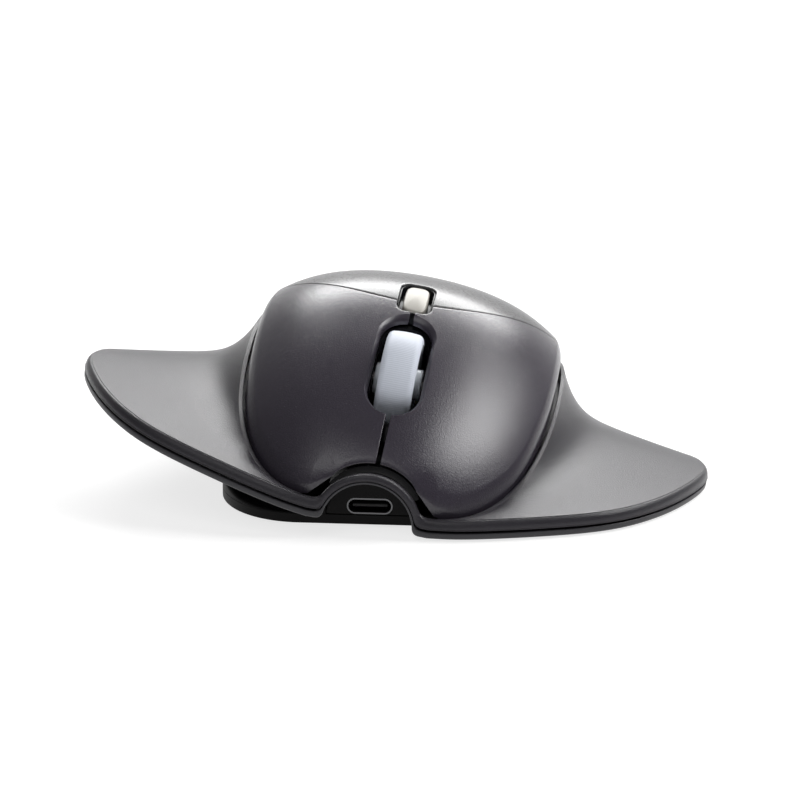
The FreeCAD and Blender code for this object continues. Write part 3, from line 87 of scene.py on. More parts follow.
crown = Spline([(-4, 3.0), (0, 9.6), (3, 13.6), (7, 17.6), (12, 21.6), (18, 25.7), (25, 29.9), (33, 34.0), (41, 37.4),
                (46, 38.75), (52, 39.2), (61, 38.0), (70, 35.0), (80, 30.1), (90, 24.2), (98, 18.6), (104, 13.9),
                (109, 9.6)])
half = Spline([(0.0, 10.8), (1.5, 13.6), (4, 17.2), (8, 21.3), (14, 25.4), (22, 28.7), (32, 30.46), (45, 30.72),
               (60, 29.9), (73, 28.2), (85, 24.8), (95, 19.6), (102, 13.4), (106.5, 6.2), (108, 0.0)])
edge = Spline([(0, 6.2), (4, 7.9), (9, 10.0), (15, 12.8), (22, 16.1), (32, 21.3), (42, 26.1), (52, 29.0), (62, 28.9),
               (72, 25.6), (82, 20.7), (92, 16.2), (100, 12.4), (108, 9.2)])


def dome(x, q):
    c, e = crown(q), edge(q)
    w = np.maximum(half(np.minimum(np.maximum(q, 1.5), 100)), 8)
    r = x / w
    return c - (c - e) * (0.62 * r * r + 0.38 * r ** 4) + UP


def slope(x, q):
    gx = (dome(x + 0.05, q) - dome(x - 0.05, q)) / 0.1
    gq = (dome(x, q + 0.05) - dome(x, q - 0.05)) / 0.1
    return np.sqrt(1 + np.minimum(gx * gx + gq * gq, 3.0))


ST = [(12.8, 0.5, 5.3, 12.0, -1.0), (17.2, 2.2, 5.8, 17.8, -1.0), (21.5, 5.7, 6.8, 25.4, 0.5), (25.5, 10.8, 9.0, 33.8, 3.0),
      (28.8, 17.7, 12.3, 42.2, 6.3), (30.9, 27.0, 15.8, 49.8, 11.6), (31.9, 36.0, 19.3, 56.6, 20.4), (32.2, 45.0, 22.4, 61.6, 31.0),
      (32.0, 54.0, 24.2, 64.0, 41.4), (31.1, 63.0, 24.2, 61.6, 49.2), (29.6, 72.0, 22.7, 55.9, 54.6), (27.2, 80.5, 20.3, 49.8, 61.4),
      (24.0, 88.5, 17.0, 43.6, 70.2), (19.6, 96.0, 13.9, 36.8, 81.2), (13.8, 102.4, 11.4, 28.4, 94.6), (7.2, 107.0, 10.0, 15.6, 105.2),
      (0.0, 108.8, 9.6, 0.0, 111.4)]
NS = len(ST) - 1


def along(k, odd):
    v = [row[k] for row in ST]
    return Spline([(i, v[i]) for i in range(NS + 1)] + [(2 * NS - i, -v[i] if odd else v[i]) for i in range(NS - 1, -1, -1)])


CX, CQ, CZ, RX, RQ = along(0, True), along(1, False), along(2, False), along(3, True), along(4, False)


def under_z(x):
    return DIH * np.sqrt(x * x + 36.0) + EDGE_LOW


def wing(s, r):
    cx, cq, cz = CX(s), CQ(s), CZ(s) + UP
    rx, rq = RX(s), RQ(s)
    rz = under_z(rx) + EDGE_T
    f = 1 - r
    k = 0.93 * np.abs(f) ** 7.35 + 0.07 * f
    return np.stack([cx + (rx - cx) * r, cq + (rq - cq) * r, rz + (cz - rz) * k], -1)


def collar(s, d):
    """d inside the collar in plan, at the collar's height"""
    s = np.asarray(s, float)
    p = wing(s, 0.0)
    t = wing(np.minimum(s + 0.05, 2 * NS), 0.0) - wing(np.maximum(s - 0.05, 0.0), 0.0)
    n = np.stack([t[..., 1], -t[..., 0]], -1)
    n /= np.linalg.norm(n, axis=-1, keepdims=True)
    out = p.copy()
    out[..., :2] -= n * np.asarray(d)[..., None] if np.ndim(d) else n * d
    return out


def rim_out(s):
    """outward direction of the wing's edge in plan"""
    s = np.asarray(s, float)
    a = np.stack([RX(np.minimum(s + 0.05, 2 * NS)), RQ(np.minimum(s + 0.05, 2 * NS))], -1)
    b = np.stack([RX(np.maximum(s - 0.05, 0)), RQ(np.maximum(s - 0.05, 0))], -1)
    t = a - b
    n = np.stack([t[..., 1], -t[..., 0]], -1)
    return n / np.linalg.norm(n, axis=-1, keepdims=True)


def on_shell(p):
    p = np.asarray(p, float)
    x, q, z = p[..., 0], p[..., 1], p[..., 2]
    c, s = math.cos(TILT), math.sin(TILT)
    return np.stack([AX + x * c + (z - ZA) * s, q + YF, ZA - x * s + (z - ZA) * c], -1) / 1000


def on_base(p):
    p = np.asarray(p, float)
    return np.stack([p[..., 0] + AX, p[..., 1] + YF, p[..., 2]], -1) / 1000


# ---------------------------------------------------------------- materials

def nodes_of(m):
    m.use_nodes = True
    nt = m.node_tree
    nt.nodes.clear()
    out = nt.nodes.new("ShaderNodeOutputMaterial")
    bs = nt.nodes.new("ShaderNodeBsdfPrincipled")
    nt.links.new(bs.outputs["BSDF"], out.inputs["Surface"])
    return nt, bs


def noise(nt, scale, detail=2.0, rough=0.5, co=None):
    n = nt.nodes.new("ShaderNodeTexNoise")
    n.inputs["Scale"].default_value = scale
    n.inputs["Detail"].default_value = detail
    n.inputs["Roughness"].default_value = rough
    nt.links.new(co, n.inputs["Vector"])
    return n


def ramp(nt, src, stops):
    r = nt.nodes.new("ShaderNodeValToRGB")
    e = r.color_ramp.elements
    while len(e) < len(stops):
        e.new(0.5)
    for k, (p, c) in enumerate(stops):
        e[k].position = p
        e[k].color = (c[0], c[1], c[2], 1) if hasattr(c, "__len__") else (c, c, c, 1)
    nt.links.new(src, r.inputs["Fac"])
    return r


def spread(nt, src, lo, hi):
    m = nt.nodes.new("ShaderNodeMapRange")
    m.inputs["From Min"].default_value = 0.25
    m.inputs["From Max"].default_value = 0.75
    m.inputs["To Min"].default_value = lo
    m.inputs["To Max"].default_value = hi
    nt.links.new(src, m.inputs["Value"])
    return m.outputs["Result"]


def plastic(name, col, rough, grain=2600.0, bump=0.25, dist=0.00003, var=0.10, painted_glint=0.0, painted_glint_scale=2600.0,
            spec=0.5, coat=0.0, coat_rough=0.1, metal=0.0, rvar=0.06, sub=0.0):
    """moulded plastic: cloudy colour, fine grain in bump and roughness, and, where the glint weight is above 0, a few
    lighter specks painted into the colour as painted glints of the grain
    """
    m = bpy.data.materials.new(name)
    nt, bs = nodes_of(m)
    tc = nt.nodes.new("ShaderNodeTexCoord").outputs["Object"]
    big = noise(nt, 55.0, 4.0, 0.55, tc)
    fine = noise(nt, grain, 3.0, 0.6, tc)
    lo = [max(c * (1 - var), 0) for c in col]
    hi = [min(c * (1 + var), 1) for c in col]
    mix = nt.nodes.new("ShaderNodeMix")
    mix.data_type = "RGBA"
    mix.inputs["A"].default_value = (*lo, 1)
    mix.inputs["B"].default_value = (*hi, 1)
    both = nt.nodes.new("ShaderNodeMath")
    both.operation = "MULTIPLY_ADD"
    both.inputs[1].default_value = 0.45
    nt.links.new(fine.outputs["Fac"], both.inputs[0])
    half_big = nt.nodes.new("ShaderNodeMath")
    half_big.operation = "MULTIPLY"
    half_big.inputs[1].default_value = 0.55
    nt.links.new(big.outputs["Fac"], half_big.inputs[0])
    nt.links.new(half_big.outputs[0], both.inputs[2])
    nt.links.new(spread(nt, both.outputs[0], 0.0, 1.0), mix.inputs["Factor"])
    colour = mix.outputs["Result"]
    # painted glints: lighter specks mixed into the base colour, standing in for the sparkle of the grain under
    # highlights
    if painted_glint > 0:
        sp = nt.nodes.new("ShaderNodeTexVoronoi")
        sp.feature = "F1"
        sp.inputs["Scale"].default_value = painted_glint_scale
        nt.links.new(tc, sp.inputs["Vector"])
        painted_glint_mask = ramp(nt, sp.outputs["Distance"], [(0.0, 1.0), (0.16, 0.55), (0.30, 0.0)])
        mx = nt.nodes.new("ShaderNodeMix")
        mx.data_type = "RGBA"
        fac = nt.nodes.new("ShaderNodeMath")
        fac.operation = "MULTIPLY"
        fac.inputs[1].default_value = painted_glint
        nt.links.new(painted_glint_mask.outputs["Color"], fac.inputs[0])
        nt.links.new(fac.outputs[0], mx.inputs["Factor"])
        nt.links.new(colour, mx.inputs["A"])
        mx.inputs["B"].default_value = (min(col[0] * 5 + 0.06, 1), min(col[1] * 5 + 0.06, 1), min(col[2] * 5 + 0.06, 1), 1)
        colour = mx.outputs["Result"]
    nt.links.new(colour, bs.inputs["Base Color"])
    nt.links.new(spread(nt, fine.outputs["Fac"], rough - rvar, rough + rvar), bs.inputs["Roughness"])
    bp = nt.nodes.new("ShaderNodeBump")
    bp.inputs["Strength"].default_value = bump
    bp.inputs["Distance"].default_value = dist
    nt.links.new(fine.outputs["Fac"], bp.inputs["Height"])
    nt.links.new(bp.outputs["Normal"], bs.inputs["Normal"])
    bs.inputs["Specular IOR Level"].default_value = spec
    bs.inputs["Metallic"].default_value = metal
    if coat > 0:
        bs.inputs["Coat Weight"].default_value = coat
        bs.inputs["Coat Roughness"].default_value = coat_rough
    if sub > 0:
        bs.inputs["Subsurface Weight"].default_value = sub
        bs.inputs["Subsurface Radius"].default_value = (0.001, 0.001, 0.001)
    return m


M = {
    "plate": plastic("plate_grain", (0.034, 0.029, 0.040), 0.22, 3400, 0.85, 0.00006, 0.14, spec=0.55),
    "cover": plastic("cover_satin", (0.032, 0.031, 0.033), 0.29, 3600, 0.20, 0.00003, 0.10, spec=0.72),
    "wing": plastic("wing_grain", (0.026, 0.024, 0.029), 0.33, 3400, 0.95, 0.00007, 0.16, spec=0.30),
    "lower": plastic("lower_satin", (0.030, 0.029, 0.033), 0.40, 2600, 0.35, 0.00004, 0.12, spec=0.35),
    "base": plastic("base_satin", (0.0045, 0.0042, 0.0042), 0.46, 2600, 0.40, 0.00004, 0.30, spec=0.09),
    "gloss": plastic("slot_gloss", (0.006, 0.006, 0.007), 0.20, 900, 0.05, 0.00001, 0.3, spec=0.12, rvar=0.03),
    "inner": plastic("inner_black", (0.012, 0.012, 0.013), 0.55, 1500, 0.3, 0.00004, 0.25, spec=0.3),
    "tyre": plastic("tyre_rubber", (0.60, 0.635, 0.71), 0.48, 2200, 0.20, 0.00002, 0.04, spec=0.22, sub=0.05),
    "hub": plastic("hub_milky", (0.58, 0.61, 0.65), 0.34, 1800, 0.12, 0.00002, 0.06, spec=0.5, sub=0.25),
    "cap": plastic("cap_silver", (0.35, 0.335, 0.305), 0.42, 3000, 0.35, 0.00003, 0.06, spec=0.5, metal=0.2),
    "ivory": plastic("ivory_plastic", (0.60, 0.56, 0.46), 0.45, 1500, 0.2, 0.00003, 0.06, spec=0.5),
    "pad": plastic("glide_pad", (0.014, 0.014, 0.016), 0.50, 2000, 0.3, 0.00003, 0.25, spec=0.4),
    "chip": plastic("chip_black", (0.012, 0.012, 0.013), 0.50, 3000, 0.4, 0.00003, 0.2, spec=0.4),
}


def metal_mat(name, col, rough, stretch):
    """drawn metal: streaks along x in roughness and bump"""
    m = bpy.data.materials.new(name)
    nt, bs = nodes_of(m)
    tc = nt.nodes.new("ShaderNodeTexCoord").outputs["Object"]
    mp = nt.nodes.new("ShaderNodeMapping")
    mp.inputs["Scale"].default_value = stretch
    nt.links.new(tc, mp.inputs["Vector"])
    n = noise(nt, 400.0, 4.0, 0.6, mp.outputs["Vector"])
    bs.inputs["Metallic"].default_value = 1.0
    c = ramp(nt, n.outputs["Fac"], [(0.3, [v * 0.8 for v in col]), (0.7, col)])
    nt.links.new(c.outputs["Color"], bs.inputs["Base Color"])
    nt.links.new(spread(nt, n.outputs["Fac"], rough * 0.7, rough * 1.3), bs.inputs["Roughness"])
    bp = nt.nodes.new("ShaderNodeBump")
    bp.inputs["Strength"].default_value = 0.2
    bp.inputs["Distance"].default_value = 0.00002
    nt.links.new(n.outputs["Fac"], bp.inputs["Height"])
    nt.links.new(bp.outputs["Normal"], bs.inputs["Normal"])
    return m


def board_mat():
    m = bpy.data.materials.new("board_mask")
    nt, bs = nodes_of(m)
    tc = nt.nodes.new("ShaderNodeTexCoord").outputs["Object"]
    v = nt.nodes.new("ShaderNodeTexBrick")
    v.inputs["Scale"].default_value = 420.0
    v.inputs["Mortar Size"].default_value = 0.035
    v.inputs["Color1"].default_value = (0.010, 0.085, 0.045, 1)
    v.inputs["Color2"].default_value = (0.013, 0.070, 0.040, 1)
    v.inputs["Mortar"].default_value = (0.035, 0.16, 0.085, 1)
    nt.links.new(tc, v.inputs["Vector"])
    n = noise(nt, 900.0, 2.0, 0.5, tc)
    nt.links.new(v.outputs["Color"], bs.inputs["Base Color"])
    nt.links.new(spread(nt, n.outputs["Fac"], 0.25, 0.35), bs.inputs["Roughness"])
    bp = nt.nodes.new("ShaderNodeBump")
    bp.inputs["Strength"].default_value = 0.3
    bp.inputs["Distance"].default_value = 0.00003
    nt.links.new(v.outputs["Fac"], bp.inputs["Height"])
    nt.links.new(bp.outputs["Normal"], bs.inputs["Normal"])
    return m


def lens_mat():
    m = bpy.data.materials.new("lens_clear")
    nt, bs = nodes_of(m)
    tc = nt.nodes.new("ShaderNodeTexCoord").outputs["Object"]
    n = noise(nt, 500.0, 2.0, 0.5, tc)
    c = ramp(nt, n.outputs["Fac"], [(0.2, (0.80, 0.86, 0.88)), (0.8, (0.90, 0.94, 0.95))])
    nt.links.new(c.outputs["Color"], bs.inputs["Base Color"])
    nt.links.new(spread(nt, n.outputs["Fac"], 0.03, 0.07), bs.inputs["Roughness"])
    bs.inputs["Transmission Weight"].default_value = 0.9
    bs.inputs["IOR"].default_value = 1.49
    return m


M["steel"] = metal_mat("drawn_steel", (0.62, 0.62, 0.63), 0.28, (1.0, 6.0, 6.0))
M["dull"] = metal_mat("dull_steel", (0.16, 0.16, 0.165), 0.42, (1.0, 6.0, 6.0))
M["foil"] = metal_mat("cell_foil", (0.42, 0.43, 0.45), 0.35, (4.0, 1.0, 4.0))
M["film"] = plastic("ribbon_film", (0.45, 0.24, 0.05), 0.30, 1200, 0.15, 0.00003, 0.12, spec=0.5)
M["board"] = board_mat()
M["lens"] = lens_mat()

CAD_MATERIALS = {
    "base_tray": "base", "base_deck": "base", "main_pcb": "board", "soc_chip": "chip", "usb_c_shell": "dull", "usb_c_tongue": "inner",
    "optical_sensor": "chip", "sensor_lens": "lens", "power_switch_housing": "inner", "power_switch_knob": "cap", "pair_switch": "inner",
    "pair_button": "cap", "ffc_connector_base": "ivory", "front_foot": "pad", "rear_foot": "pad", "base_screws": "steel",
    "rear_rail": "inner", "rail_screws": "steel", "wing_upper_shell": "wing", "wing_lower_shell": "lower", "wing_screws": "steel",
    "left_button": "plate", "right_button": "plate", "top_cover": "cover", "chassis": "inner", "button_hinge_pins": "steel",
    "rear_shoe": "inner", "shoe_screws": "steel", "chassis_screws": "steel", "centre_insert": "gloss", "dpi_board": "board",
    "dpi_tact_switch": "inner", "dpi_button": "cap", "button_pcb": "board", "left_microswitch": "inner", "left_switch_plunger": "ivory",
    "right_microswitch": "inner", "right_switch_plunger": "ivory", "middle_click_switch": "inner", "battery_cell": "foil",
    "ffc_connector_shell": "ivory", "ribbon_cable": "film", "wheel_tyre": "tyre", "wheel_hub": "hub", "wheel_axle": "steel",
    "wheel_carrier": "inner", "wheel_encoder": "inner",
}
for name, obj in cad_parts.items():
    obj.data.materials.clear()
    obj.data.materials.append(M[CAD_MATERIALS[name]])

# ---------------------------------------------------------------- mesh helpers

def quads(n, m, close_n=False, close_m=False, first=0):
    i = np.arange(n if close_n else n - 1)
    j = np.arange(m if close_m else m - 1)
    a, b = np.meshgrid(i, j, indexing="ij")
    a2, b2 = (a + 1) % n, (b + 1) % m
    return (np.stack([a * m + b, a2 * m + b, a2 * m + b2, a * m + b2], -1).reshape(-1, 4) + first).tolist()


def make(name, verts, faces, mat, body, repl=(), place=on_shell, angle=38.0):
    me = bpy.data.meshes.new(name)
    me.from_pydata(place(verts).tolist(), [], faces)
    me.validate()
    bm = bmesh.new()
    bm.from_mesh(me)
    bmesh.ops.remove_doubles(bm, verts=bm.verts, dist=2e-7)
    bmesh.ops.dissolve_degenerate(bm, edges=bm.edges, dist=1e-8)
    bmesh.ops.recalc_face_normals(bm, faces=bm.faces)
    bm.to_mesh(me)
    bm.free()
    me.polygons.foreach_set("use_smooth", [True] * len(me.polygons))
    me.set_sharp_from_angle(angle=math.radians(angle))
    me.materials.append(mat)
    me.update()
    ob = bpy.data.objects.new(name, me)
    bpy.context.scene.collection.objects.link(ob)
    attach(ob, body)
    if repl:
        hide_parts(*repl)
    return ob


def nearest(px, pq, poly):
    """distance to a polyline, and the index of its nearest segment, for many points"""
    a, b = poly[:-1], poly[1:]
    ab = b - a
    l2 = np.maximum((ab ** 2).sum(1), 1e-12)
    dist, idx = np.empty(len(px)), np.empty(len(px), int)
    for k in range(0, len(px), 1500):
        p = np.stack([px[k:k + 1500], pq[k:k + 1500]], -1)[:, None, :]
        t = np.clip(((p - a) * ab).sum(-1) / l2, 0, 1)
        d = np.linalg.norm(p - (a + ab * t[..., None]), axis=-1)
        idx[k:k + 1500] = d.argmin(1)
        dist[k:k + 1500] = d.min(1)
    return dist, idx


# ---------------------------------------------------------------- the dome: two plates and the palm cover

sv = np.linspace(0, 2 * NS, 1601)
OUT = collar(sv, LIP + GROOVE)
OUT2 = np.vstack([OUT[:, :2], OUT[:1, :2]])
OUTZ = np.append(OUT[:, 2], OUT[0, 2])


def in_outline(x, q):
    d, i = nearest(x, q, OUT2)
    a, b = OUT2[i], OUT2[np.minimum(i + 1, len(OUT2) - 1)]
    side = (b[:, 0] - a[:, 0]) * (q - a[:, 1]) - (b[:, 1] - a[:, 1]) * (x - a[:, 0])
    return np.where(side > 0, d, -d), OUTZ[i]


def qb(x):
    return 40.0 + 15.3 * (x / 27.0) ** 2


BX = np.linspace(-36, 36, 361)


def past_border(x, q, shift):
    d, _ = nearest(x, q, np.stack([BX, qb(BX) + shift], -1))
    return np.where(q > qb(x) + shift, d, -d)


def out_stadium(x, q, w, l, c, r=None):
    """distance outside an upright rounded slot"""
    r = w / 2 if r is None else r
    ax, aq = np.abs(x) - (w / 2 - r), np.abs(q - c) - (l / 2 - r)
    return np.hypot(np.maximum(ax, 0), np.maximum(aq, 0)) + np.minimum(np.maximum(ax, aq), 0) - r


def rounded(w, l, c, off, n_step=0.22, r=None):
    """points round a rounded slot, off outside its edge"""
    r = w / 2 if r is None else r
    r2, hx, hq = r + off, w / 2 - r, l / 2 - r
    pts = []
    for cx, cq, a0 in ((hx, c + hq, 0), (-hx, c + hq, 90), (-hx, c - hq, 180), (hx, c - hq, 270)):
        k = max(int(r2 * math.pi / 2 / n_step), 6)
        for i in range(k + 1):
            a = math.radians(a0 + 90 * i / k)
            pts.append((cx + r2 * math.cos(a), cq + r2 * math.sin(a)))
    out = []
    for i in range(len(pts)):
        a, b = np.array(pts[i]), np.array(pts[(i + 1) % len(pts)])
        k = max(int(np.linalg.norm(b - a) / n_step), 1)
        out += [a + (b - a) * j / k for j in range(k)]
    return np.array(out)


def edge_drop(d, w, lin, rnd):
    t = np.clip((w - d) / w, 0, 1)
    return lin * t + rnd * (1 - np.sqrt(np.maximum(1 - t * t, 0)))


def steps(w, n=9):
    """offsets from a rounded border, at even angles round its quarter oval"""
    return w * (1 - np.cos(np.linspace(0, math.pi / 2, n)))


def arch_field(x, q):
    return np.hypot(x, dome(x, q) - ZA) - ARCH


def arch_ring(off):
    xs = np.linspace(-ARCH - off, ARCH + off, 141)
    lo, hi = np.full(xs.shape, -3.0), np.full(xs.shape, 9.0)
    for _ in range(40):
        mid = (lo + hi) / 2
        f = arch_field(xs, mid) - off
        lo, hi = np.where(f > 0, lo, mid), np.where(f > 0, mid, hi)
    return np.stack([xs, (lo + hi) / 2], -1)


def seam_half(q):
    return SEAM + 0.20 + 0.10 * np.clip(np.asarray(q, float) / 13.0, 0, 1) * (np.asarray(q) < 20)


W_OUT, W_SLOT, W_SEAM, W_DPI, W_BORDER, W_ARCH = 1.1, 0.75, 0.12, 0.2, 0.1, 0.5


def skin_piece(name, which, mat, body, node, mirror=False):
    """a plate (x above 0, mirrored for the left one) or the cover"""
    cover = which == "cover"

    def fields(x, q):
        o, cz = in_outline(x, q)
        f = {"out": o, "dpi": out_stadium(x, q, DPI_W, DPI_L, DPI_Q, DPI_R)}
        if cover:
            f["border"] = past_border(x, q, COVER_SEAM)
        else:
            f["border"] = -past_border(x, q, 0.0)
            f["seam"] = x - seam_half(q)
            f["slot"] = out_stadium(x, q, SLOT_W, SLOT_L, SLOT_Q)
            f["arch"] = arch_field(x, q)
        return f, cz

    rings = []
    so = np.linspace(0, 2 * NS if cover else NS, 1250 if cover else 620)
    for d in list(steps(W_OUT, 12)) + [1.45]:
        rings.append(("out", d, collar(so, LIP + GROOVE + d)[:, :2]))
    for d in list(steps(W_DPI, 7)) + [0.6]:
        rings.append(("dpi", d, rounded(DPI_W, DPI_L, DPI_Q, d, 0.18, DPI_R)))
    sh = COVER_SEAM if cover else 0.0
    sg = 1 if cover else -1
    bx = np.linspace(-31, 31, 321)
    g = 30.6 * bx / 27.0 ** 2
    nrm = np.stack([-g, np.ones_like(g)], -1) / np.hypot(g, 1)[:, None] * sg
    for d in list(steps(W_BORDER, 7)) + [0.5]:
        rings.append(("border", d, np.stack([bx, qb(bx) + sh], -1) + nrm * d))
    if not cover:
        qs = np.linspace(0, 40, 201)
        for d in list(steps(W_SEAM, 7)) + [0.45]:
            rings.append(("seam", d, np.stack([seam_half(qs) + d, qs], -1)))
        for d in list(steps(W_SLOT, 10)) + [1.05]:
            rings.append(("slot", d, rounded(SLOT_W, SLOT_L, SLOT_Q, d, 0.2)))
        for d in list(steps(W_ARCH, 9)) + [0.95]:
            rings.append(("arch", d, arch_ring(d)))
    pts = []
    for key, d, p in rings:
        f, _ = fields(p[:, 0], p[:, 1])
        ok = np.ones(len(p), bool)
        for k, v in f.items():
            if k != key:
                ok &= v > d * 0.98 + (1e-4 if d > 0 else -1e-4)
        pts.append(p[ok])
    gx, gq = np.meshgrid(np.arange(-31.5, 31.6, 0.85) if cover else np.arange(0.4, 31.6, 0.85), np.arange(1, 109, 0.85), indexing="ij")
    gx = gx + np.where(np.arange(gx.shape[1]) % 2 == 0, 0.0, 0.42)[None, :]
    gx, gq = gx.ravel(), gq.ravel()
    f, _ = fields(gx, gq)
    ok = (f["out"] > 1.8) & (f["dpi"] > 0.9) & (f["border"] > 0.8)
    if not cover:
        ok &= (f["seam"] > 0.75) & (f["slot"] > 1.4) & (f["arch"] > 1.3)
    pts.append(np.stack([gx[ok], gq[ok]], -1))
    P = np.vstack(pts)
    key = np.round(P / 0.004).astype(np.int64)
    _, keep = np.unique(key[:, 0] * 1000003 + key[:, 1], return_index=True)
    P = P[np.sort(keep)]
    res = delaunay_2d_cdt([Vector((a, b)) for a, b in P], [], [], 0, 1e-5)
    V2 = np.array([(v[0], v[1]) for v in res[0]])
    T = np.array(res[2])
    c = V2[T].mean(1)
    f, _ = fields(c[:, 0], c[:, 1])
    lo = np.min(np.stack(list(f.values())), 0)
    T = T[lo > 1e-3]
    area = np.abs(np.cross(V2[T[:, 1]] - V2[T[:, 0]], V2[T[:, 2]] - V2[T[:, 0]]))
    T = T[area > 1e-7]
    used = np.unique(T)
    remap = np.full(len(V2), -1)
    remap[used] = np.arange(len(used))
    V2, T = V2[used], remap[T]
    x, q = V2[:, 0], V2[:, 1]
    f, cz = fields(x, q)
    drops = [edge_drop(f["out"], W_OUT, 0.45, 0.9), edge_drop(f["dpi"], W_DPI, 0.02, 0.14), edge_drop(f["border"], W_BORDER, 0.02, 0.08)]
    if not cover:
        drops += [edge_drop(f["seam"], W_SEAM, 0.0, 0.12), edge_drop(f["slot"], W_SLOT, 0.55, 0.40), edge_drop(f["arch"], W_ARCH, 0.10, 0.42)]
    drop = np.sum(np.stack(drops) ** 3, 0) ** (1 / 3)
    top = dome(x, q) - drop
    low = np.minimum(dome(x, q) - (1.75 if cover else 1.5) * slope(x, q), top - 0.5)
    skirt = (f["out"] < 1.3) & (q > 4) & (np.abs(x) > 14)
    low = np.where(skirt, np.minimum(low, cz - 0.8), low)
    # the front edge's underside keeps clear of the arch
    roof = ZA + np.sqrt(np.maximum(12.05 ** 2 - x * x, 0))
    low = np.where((q < 9) & (np.abs(x) < 12.0), np.minimum(np.maximum(low, roof), top - 0.06), low)
    # the front corners and the skirt stay above the wing's ledge when the plate is pressed
    low = np.where(q < 24, np.maximum(low, np.minimum(cz - np.interp(q, [6, 9], [0.2, 0.7]), top - 0.3)), low)
    n = len(x)
    V3 = np.vstack([np.stack([x, q, top], -1), np.stack([x, q, low], -1)])
    e = np.vstack([T[:, [0, 1]], T[:, [1, 2]], T[:, [2, 0]]])
    code = np.sort(e, 1)
    code = code[:, 0].astype(np.int64) * (n + 1) + code[:, 1]
    _, inv, cnt = np.unique(code, return_inverse=True, return_counts=True)
    be = e[cnt[inv] == 1]
    F = T.tolist() + (T[:, ::-1] + n).tolist() + np.stack([be[:, 1], be[:, 0], be[:, 0] + n, be[:, 1] + n], -1).tolist()
    if mirror:
        V3 = V3 * np.array([-1, 1, 1])
    return make(name, V3, F, mat, body, [node], angle=21)


skin_piece("left_plate_skin", "plate", M["plate"], "left_plate", "left_button", mirror=True)
skin_piece("right_plate_skin", "plate", M["plate"], "right_plate", "right_button")
skin_piece("palm_cover_skin", "cover", M["cover"], "shell", "top_cover")

# ---------------------------------------------------------------- wings, with the feet and the arch


def arch_path(end, rho, qe, n_line=5, n_bend=9, n_arc=26, bend=1.5):
    """from a profile point at the wing's front end through the foot and round the arch to its top; right side"""
    x0, q0, z0 = end
    th = math.asin(max(min((z0 - ZA) / rho, 0.95), -0.95))
    corner = np.array([rho * math.cos(th), z0])
    xa = min(corner[0] + bend, x0 - 0.05)
    th1 = th + bend / rho
    p1 = np.array([rho * math.cos(th1), ZA + rho * math.sin(th1)])
    pts = []
    for i in range(n_line):
        pts.append((x0 + (xa - x0) * i / n_line, z0))
    for i in range(n_bend):
        t = i / n_bend
        b = (1 - t) ** 2 * np.array([xa, z0]) + 2 * t * (1 - t) * corner + t * t * p1
        pts.append((b[0], b[1]))
    for i in range(n_arc + 1):
        a = th1 + (math.pi / 2 - th1) * i / n_arc
        pts.append((rho * math.cos(a), ZA + rho * math.sin(a)))
    out = []
    for i, (x, z) in enumerate(pts):
        t = min(i / (n_line + n_bend), 1.0)
        t = t * t * (3 - 2 * t)
        out.append((x, q0 + (qe - q0) * t, z))
    return out


def with_arch(grid, rhos, qes):
    """a wing's grid (stations x profile) with its feet and arch in front; one closed ring"""
    right = np.array([arch_path(grid[0, i], rhos[i], qes[i]) for i in range(grid.shape[1])])      # profile x path x 3
    right = np.transpose(right, (1, 0, 2))[1:]
    left = right.copy()
    left[:, :, 0] *= -1
    return np.concatenate([grid, left, right[::-1][1:]], 0)


sw = np.linspace(0, 2 * NS, 801)
C0, RIM = wing(sw, 0.0), wing(sw, 1.0)
NO = rim_out(sw)
span = np.linalg.norm(RIM[:, :2] - C0[:, :2], axis=1)
prof, rho, qe = [], [], []


def add(p, r, q):
    prof.append(p)
    rho.append(r)
    qe.append(q)


A_IN, A_OUT = 9.45, 10.7
inner = collar(sw, LIP)
qz = C0[:, 1]
zl = C0[:, 2] - 1.2 - 1.8 * np.clip((qz - 10) / 12, 0, 1) ** 2 * (3 - 2 * np.clip((qz - 10) / 12, 0, 1))
reach = np.clip((np.minimum(sw, 2 * NS - sw) - 2.0) / 2.5, 0.0, 1.0) * 1.15 + 1.3
for dd, dz, rr_, qq in ((1.0, -0.8, 9.6, 4.9), (1.0, 0.0, 9.72, 4.9), (0.5, 0.0, 9.76, 3.6), (0.0, 0.0, 9.80, 2.2)):
    p = collar(sw, LIP + reach * dd)
    p[:, 2] = zl + dz
    add(p, rr_, qq)
add(inner + np.array([0, 0, -0.9]), 9.85, 1.45)
for a in (0, 22.5, 45, 67.5, 90):
    t = math.radians(a)
    p = collar(sw, LIP - 0.16 * (1 - math.cos(t)))
    add(p + np.array([0, 0, 0.10 - 0.16 * (1 - math.sin(t))]), A_OUT - 0.55 * (1 - math.sin(t)), 1.35 - 0.55 * (1 - math.cos(t)))
add(collar(sw, 0.25) + np.array([0, 0, 0.03]), A_OUT, 0.75)
add(collar(sw, 0.10) + np.array([0, 0, 0.02]), A_OUT, 0.72)
crease = 1.15
rc = np.clip(1 - crease / np.maximum(span, 2.2), 0.3, 1)
nr = 34
for i in range(nr + 1):
    t = (i / nr) ** 1.55
    add(wing(sw, rc * t), A_OUT, 0.7 - 0.7 * i / nr)
pc_ = wing(sw, rc)
